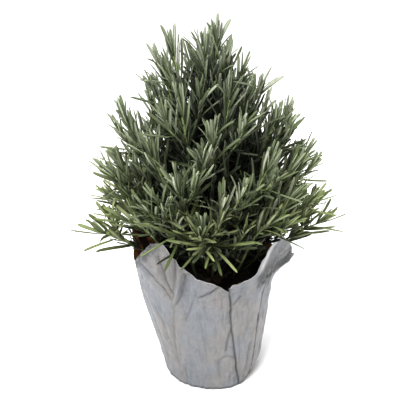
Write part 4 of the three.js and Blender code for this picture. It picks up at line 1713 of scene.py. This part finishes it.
@dataclass(frozen=True)
class Bend:
    """A smooth line from a start to an end, drawn by two points between them."""

    start: Vector
    leaving: Vector
    arriving: Vector
    end: Vector

    def at(self, share: float) -> Vector:
        """The point a share of the way along."""
        rest = 1.0 - share
        return (
            self.start * rest ** 3 + self.leaving * (3 * rest * rest * share)
            + self.arriving * (3 * rest * share * share) + self.end * share ** 3
        )

    def heading(self, share: float) -> Vector:
        """The direction in which the line runs there."""
        low, high = max(0.0, share - 0.01), min(1.0, share + 0.01)
        return (self.at(high) - self.at(low)).normalized()

    def points(self, steps: int) -> Line:
        """Evenly spread points, both ends among them."""
        return [self.at(step / steps) for step in range(steps + 1)]

    def length(self) -> float:
        """Length of the line."""
        points = self.points(16)
        return sum((b - a).length for a, b in zip(points, points[1:]))


@dataclass(frozen=True)
class Shoot:
    """A shoot's middle line and how it grows."""

    line: Bend
    steps: int
    half_widths: Pair  # at the foot and at the tip
    bare: float  # share without leaves
    vigour: float
    woody: float  # at the foot


@dataclass(frozen=True)
class Habit:
    """How a stem grows: what part of it is bare, how woody its foot is and how its leaves stand."""

    bare: float  # share of its length without leaves
    woody: float  # at its foot
    leaves: dict[str, float] = field(default_factory=dict)  # inputs of the shoots' group that differ


WINGS = Habit(0.5, 0.5, {
    "Low_Spread": math.radians(50.0), "Tip_Spread": math.radians(52.0), "Leaf_Length": 32.0 * MM,
    "Lift": 0.25, "Facing_Up": 0.0, "Overhang": 0.1 * MM, "Leaf_Width": 3.9 * MM,
})
LOOSE = Habit(0.6, 0.5, {
    "Low_Spread": math.radians(60.0), "Tip_Spread": math.radians(56.0), "Tip_Leaf_Length": 42.0 * MM,
    "Lift": 0.0, "Facing_Up": 0.3, "Overhang": 0.1 * MM, "Leaf_Width": 2.8 * MM, "Bush_Radius": 74.0 * MM,
})


@dataclass(frozen=True)
class SideShoots:
    """The shoots that leave a main stem on its way up."""

    spacing: float = 42.0 * MM
    number: tuple[int, int] = (2, 5)  # the fewest and the most
    stretch: Pair = (0.4, 0.84)  # shares of the stem where the first and the last leave
    share_scatter: float = 0.03
    turn: float = 137.5  # degrees about the stem from one to the next
    tries: int = 6
    retry_turn: float = 61.0
    rim_clearance: float = 8.0 * MM
    least_rise: float = 10.0 * MM
    least_height: float = 165.0 * MM
    reach: Pair = (26.0 * MM, 62.0 * MM)  # the shortest and the longest
    reach_share: Pair = (0.7, 0.98)  # of what is left of the stem
    vigour: Pair = (0.72, 0.92)
    half_widths: Pair = (0.75 * MM, 0.5 * MM)
    bare: float = 0.16
    steps: int = 8

    def grow(self, index: int, main: Bend, over_rim: Callable[[Bend], float]) -> list[Shoot]:
        """Grows the side shoots of one stem.

        Args:
            index: the stem's number, for its own random draws.
            main: the stem's middle line.
            over_rim: tells how far a line stays above the wrap's rim.

        Returns:
            Shoots that keep clear of the wrap.
        """
        dice = random.Random(1000 + index)
        length = main.length()
        fewest, most = self.number
        count = max(fewest, min(most, round(length / self.spacing)))
        shoots = []
        roll = dice.uniform(0.0, 360.0)
        for branch in range(count):
            scattered = dice.uniform(-self.share_scatter, self.share_scatter)
            share = lerp(*self.stretch, branch / (count - 1)) + scattered
            for attempt in range(self.tries):
                turn = roll + branch * self.turn + attempt * self.retry_turn
                line = self.line(main, share, turn, length, dice)
                least = max(line.start.z + self.least_rise, self.least_height)
                if over_rim(line) > self.rim_clearance and line.end.z > least:
                    vigour = dice.uniform(*self.vigour)
                    shoots.append(Shoot(line, self.steps, self.half_widths, self.bare, vigour, 0.0))
                    break
        return shoots

    def line(self, main: Bend, share: float, turn: float, length: float, dice: random.Random) -> Bend:
        """The middle line of one side shoot, which leaves sideways and turns up."""
        start, along = main.at(share), main.heading(share)
        sideways = along.orthogonal().normalized()
        sideways.rotate(Matrix.Rotation(math.radians(turn), 3, along))
        shortest, longest = self.reach
        reach = min(longest, max(shortest, (1.0 - share) * length * dice.uniform(*self.reach_share)))
        first = (along * 0.62 + sideways * 0.78).normalized()
        last = (first * 0.45 + along * 0.35 + Vector((0.0, 0.0, 0.42))).normalized()
        end = start + (first * 0.48 + last * 0.52) * reach
        return Bend(start, start + first * reach * 0.35, end - last * reach * 0.35, end)


@dataclass(frozen=True)
class LeafyStems:
    """All stems. Each starts on the crown and ends in the bush's outline, with side shoots."""

    wrap: PotWrap
    crown: WoodyCrown
    spiral_count: int = 38
    spiral_turn: float = 137.508
    first_turn: float = 78.0
    ring_sine: float = 0.25
    seat_sines: Pair = (0.48, 0.985)  # of the first stem of the spiral and of the last
    tip_heights: Pair = (174.0 * MM, 318.0 * MM)
    growths: Pair = (34.0, 88.0)
    crowding: float = 0.75
    reach: float = 79.0 * MM
    fullness: float = BUSH_FULLNESS
    turn_scatter: float = 7.0
    reach_scatter: float = 0.07
    height_scatter: float = 6.0 * MM
    top_shift: float = -4.0 * MM
    uprighting: float = 0.7
    leaving_pull: float = 0.28
    arriving_pull: float = 0.36
    rim_clearance: float = 5.0 * MM
    rim_reach: float = 8.0 * MM
    bend_lift: float = 4.0 * MM
    tip_lift: float = 1.0 * MM
    seat_gap: float = 0.3 * MM
    half_widths: Pair = (1.15 * MM, 0.7 * MM)
    steps: int = 22
    side_shoots: SideShoots = SideShoots()

    # The low stems: those that stand out at the sides, those that hang over, and the others.
    own_habits: dict[int, Habit] = field(default_factory=lambda: {
        0: replace(WINGS, bare=0.6), 2: LOOSE, 3: LOOSE, 6: WINGS,
    })
    low_habit: Habit = Habit(0.5, 0.5, {
        "Low_Spread": math.radians(36.0), "Tip_Spread": math.radians(26.0), "Lift": 0.1,
    })
    spiral_habit: Habit = Habit(0.32, 0.9)

    # The low stems: azimuth, radius and height of the tip in millimetres, elevation of its growth.
    low_stems: tuple[Four, ...] = (
        (-82, 94, 148, 24), (-53, 84, 178, 32), (-27, 66, 172, 24), (1, 62, 163, 14),
        (38, 74, 180, 34), (67, 84, 185, 34), (94, 94, 147, 22), (128, 92, 152, 20),
        (160, 90, 168, 30), (192, 94, 146, 18), (222, 90, 156, 25), (251, 86, 158, 22),
    )
    # The highest stems, which end the spiral, in the same way.
    crest_stems: tuple[Four, ...] = (
        (272, 70, 244, 60), (82, 51, 244, 64), (189, 48, 258, 72), (331, 48, 267, 74),
        (92, 36, 268, 70), (265, 38, 280, 68), (22, 36, 278, 72), (156, 30, 284, 74),
        (268, 31, 303, 74), (50, 14, 294, 78), (205, 20, 296, 80), (330, 12, 305, 82),
        (148, 6, 309, 86),
    )

    def main_line(self, index: int) -> Bend:
        """The middle line of a main stem."""
        if index < len(self.low_stems):
            azimuth, radius, height, growth = self.low_stems[index]
            return self.route(azimuth, self.ring_sine, growth, around(azimuth, radius * MM, height * MM))
        turn = index - len(self.low_stems)
        share = (turn + 0.5) / self.spiral_count
        azimuth = turn * self.spiral_turn + self.first_turn
        sine = lerp(*self.seat_sines, share)
        crest = turn - (self.spiral_count - len(self.crest_stems))
        if crest >= 0:
            tip_azimuth, radius, height, growth = self.crest_stems[crest]
            return self.route(azimuth, sine, growth, around(tip_azimuth, radius * MM, height * MM))
        rise = 1.0 - (1.0 - share) ** self.crowding
        tip_azimuth = azimuth + scatter(self.turn_scatter, turn, 1)
        radius = self.reach * (1.0 - rise ** self.fullness) * (1.0 + scatter(self.reach_scatter, turn, 2))
        height = lerp(*self.tip_heights, rise) + scatter(self.height_scatter, turn, 3)
        growth = lerp(*self.growths, rise ** self.uprighting)
        return self.route(azimuth, sine, growth, around(tip_azimuth, radius, height, self.top_shift * rise))

    def route(self, azimuth: float, sine: float, growth: float, tip: Vector) -> Bend:
        """Leads a stem from its seat on the crown over the rim to its tip.

        Args:
            azimuth: where its seat is.
            sine: how high on the dome, as the sine of its elevation.
            growth: elevation of its growth at the tip, in degrees.
            tip: where it ends, unless the rim lifts it.

        Returns:
            The line, clear of the rim.
        """
        seat, facing = self.crown.seat(azimuth, sine)
        start = seat + facing * self.seat_gap
        rim_height, _ = self.wrap.rim(azimuth_of(tip, -self.wrap.lean))
        end = Vector((tip.x, tip.y, max(tip.z, rim_height + self.rim_clearance)))
        angle = math.radians(growth)
        heading = around(azimuth_of(tip), math.cos(angle), math.sin(angle))
        span = (end - start).length
        leaving = start + facing * (span * self.leaving_pull)
        arriving = end - heading * (span * self.arriving_pull)
        line = Bend(start, leaving, arriving, end)
        while self.over_rim(line) < self.rim_clearance:
            arriving = arriving + Vector((0.0, 0.0, self.bend_lift))
            end = end + Vector((0.0, 0.0, self.tip_lift))
            line = Bend(start, leaving, arriving, end)
        return line

    def over_rim(self, line: Bend) -> float:
        """Lowest clearance of a line over the rim where it crosses it."""
        least = math.inf
        for point in line.points(24):
            height, radius = self.wrap.rim(azimuth_of(point, -self.wrap.lean))
            if abs(math.hypot(point.x + self.wrap.lean, point.y) - radius) < self.rim_reach:
                least = min(least, point.z - height)
        return least

    def habit(self, index: int) -> Habit:
        """How a stem grows."""
        usual = self.low_habit if index < len(self.low_stems) else self.spiral_habit
        return self.own_habits.get(index, usual)

    def shoots(self, index: int) -> list[Shoot]:
        """A main stem and its side shoots."""
        main, habit = self.main_line(index), self.habit(index)
        trunk = Shoot(main, self.steps, self.half_widths, habit.bare, 1.0, habit.woody)
        return [trunk] + self.side_shoots.grow(index, main, self.over_rim)

    def lines(self, index: int) -> Piece:
        """The lines of a stem and its side shoots, with the numbers that the shoots' group reads."""
        points: Line = []
        edges: list[tuple[int, int]] = []
        numbers: list[Four] = []
        for shoot in self.shoots(index):
            first = len(points)
            for step, point in enumerate(shoot.line.points(shoot.steps)):
                share = step / shoot.steps
                points.append(point)
                woody = shoot.woody * (1.0 - share) ** 1.5
                numbers.append((lerp(*shoot.half_widths, share), shoot.bare, shoot.vigour, woody))
            edges += [(k, k + 1) for k in range(first, len(points) - 1)]
        made = new_object(f"leafy_stem_{index + 1:02d}", points, edges, [])
        for name, values in zip(("half_width", "bare", "vigour", "woody"), zip(*numbers)):
            store_numbers(made, name, values)
        return made

    def build(self, wrap: Piece, silver: Dress, green: Dress,
              bark: Dress) -> None:
        """Makes every stem.

        Args:
            wrap: the finished wrap, which leaves keep off.
            silver: the finish of the leaves with much down.
            green: the finish of the younger, greener leaves.
            bark: the stems' finish.
        """
        group = make_shoot_group()
        shelf = ShapeShelf("leaf_shapes", [shape.build() for shape in LEAF_SHAPES])
        slots = {part["node"]: part["material_slot"] for part in frame["record"]["subparts"]}
        for index in range(len(self.low_stems) + self.spiral_count):
            node = f"stem_{index + 1:02d}"
            made = self.lines(index)
            leaf = green if slots[node] == "green_leaf" else silver
            clothe(made, group, Leaf_Shapes=shelf.collection, Wrap=wrap, Leaf_Finish=leaf,
                   Stem_Finish=bark, Seed=100 + index, **self.habit(index).leaves)
            hand_over(made, slots[node], node)
        shelf.clear()


# ------- studio


@dataclass(frozen=True)
class SoftBox:
    """A square soft light that looks at a target."""

    name: str
    place: Place
    side: float
    watts: float
    colour: Colour = (1.0, 1.0, 1.0)

    def build(self, target: Vector) -> None:
        """Makes the light."""
        lamp = bpy.data.lights.new(self.name, "AREA")
        lamp.size = self.side
        lamp.energy = self.watts
        lamp.color = self.colour
        made = put_in_scene(self.name, lamp)
        made.location = self.place
        made.rotation_euler = (target - Vector(self.place)).to_track_quat("-Z", "Y").to_euler()


@dataclass(frozen=True)
class Studio:
    """A white studio: a pale floor, soft light from above and the camera."""

    camera_place: Place = (-3.3 * MM, -600.0 * MM, 470.0 * MM)
    camera_tilt: float = 63.2  # degrees up from straight down
    lens: float = 65.8
    sensor: float = 36.0
    gamma: float = 0.85
    sky: float = 0.9  # strength of the surrounding light
    floor_side: float = 14.0
    floor_shade: Fade = Fade(0.8, 1.9, 0.66)  # by the distance from the plant, to the camera only
    target: Place = (0.0, 0.0, 0.15)
    lights: tuple[SoftBox, ...] = (
        SoftBox("key_light", (-0.35, -0.85, 1.35), 0.5, 48.0),
        SoftBox("fill_light", (1.0, -0.7, 0.9), 1.0, 6.0),
        SoftBox("top_light", (0.15, 0.5, 1.5), 0.6, 26.0),
    )

    def build(self) -> None:
        """Makes the camera, the lights, the floor and the surrounding light."""
        scene = bpy.context.scene
        camera = bpy.data.cameras.new("camera")
        camera.lens = self.lens
        camera.sensor_width = self.sensor
        made = put_in_scene("camera", camera)
        made.location = self.camera_place
        made.rotation_euler = (math.radians(self.camera_tilt), 0.0, 0.0)
        scene.camera = made
        for light in self.lights:
            light.build(Vector(self.target))
        self.build_floor()
        world = bpy.data.worlds.new("studio")
        world.use_nodes = True
        background = world.node_tree.nodes["Background"]
        background.inputs["Color"].default_value = (1.0, 1.0, 1.0, 1.0)
        background.inputs["Strength"].default_value = self.sky
        scene.world = world
        scene.view_settings.view_transform = "Standard"
        scene.view_settings.gamma = self.gamma

    def build_floor(self) -> None:
        """Makes the plain pale floor."""
        half = self.floor_side / 2
        corners = [(x * half, y * half, 0.0) for x, y in ((-1, -1), (1, -1), (1, 1), (-1, 1))]
        floor = new_object("floor", corners, [], [(0, 1, 2, 3)])
        look = Material("pale_floor", Roughness=0.9, Specular_IOR_Level=0.1)
        mottle = look.group(MOTTLE, Scale=3.0, Stretch=1.0)
        colour = look.mix(mottle["Cloud"], (0.9, 0.9, 0.9), (0.93, 0.93, 0.93))
        distance = look.apply("ShaderNodeVectorMath", "LENGTH", look.place())["Value"]
        seen = look.add("ShaderNodeLightPath")["Is Camera Ray"]
        look.dress(Base_Color=look.fade(distance, colour, self.floor_shade, seen))
        floor.data.materials.append(look.data)


# ------- the whole object


def write_sizes() -> None:
    """Brings the scene's placements up to date."""
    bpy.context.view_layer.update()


def main() -> None:
    """Builds the studio and the plant in its pot."""
    logging.basicConfig(level=logging.INFO, format="%(name)s %(message)s")
    Studio().build()
    outside = PaperFinish("wrap_outside", (0.175, 0.183, 0.196), (0.192, 0.186, 0.184), (0.4, 0.4, 0.4), 0.3)
    # The inside: its creases and the part down in the pot are near black with painted shade.
    inside = PaperFinish(
        "wrap_inside", (0.85, 0.36, 0.12), (0.6, 0.25, 0.08), (0.4, 0.3, 0.2), 0.0,
        texture=replace(PaperFinish.texture, rough=(0.74, 0.9)), crease_shade=(0.05, 0.05, 0.05), pot_shade_share=1.0,
    )
    wrap_shape = PotWrap()
    wrap = wrap_shape.build(outside.material(), inside.material())
    NurseryPot().dress(PlasticFinish("pot_plastic", (0.012, 0.013, 0.014), (0.06, 0.05, 0.04)).material())
    PottingSoil().build(EarthFinish("damp_soil", (0.006, 0.0045, 0.003), (0.032, 0.021, 0.012)).material())
    crown = WoodyCrown()
    crown.build(BarkFinish("crown_bark", (0.03, 0.021, 0.015), (0.09, 0.066, 0.045)).material())
    silver = LeafFinish("silver_leaf", (0.215, 0.228, 0.195), (0.42, 0.428, 0.404), (0.205, 0.235, 0.125))
    green = LeafFinish("green_leaf", (0.19, 0.21, 0.12), (0.29, 0.305, 0.226), (0.19, 0.218, 0.11))
    bark = StemFinish("stem_bark", (0.2, 0.25, 0.1), (0.13, 0.09, 0.06))
    LeafyStems(wrap_shape, crown).build(wrap, silver.material(), green.material(), bark.material())
    write_sizes()


if __name__ == "__main__":
    main()
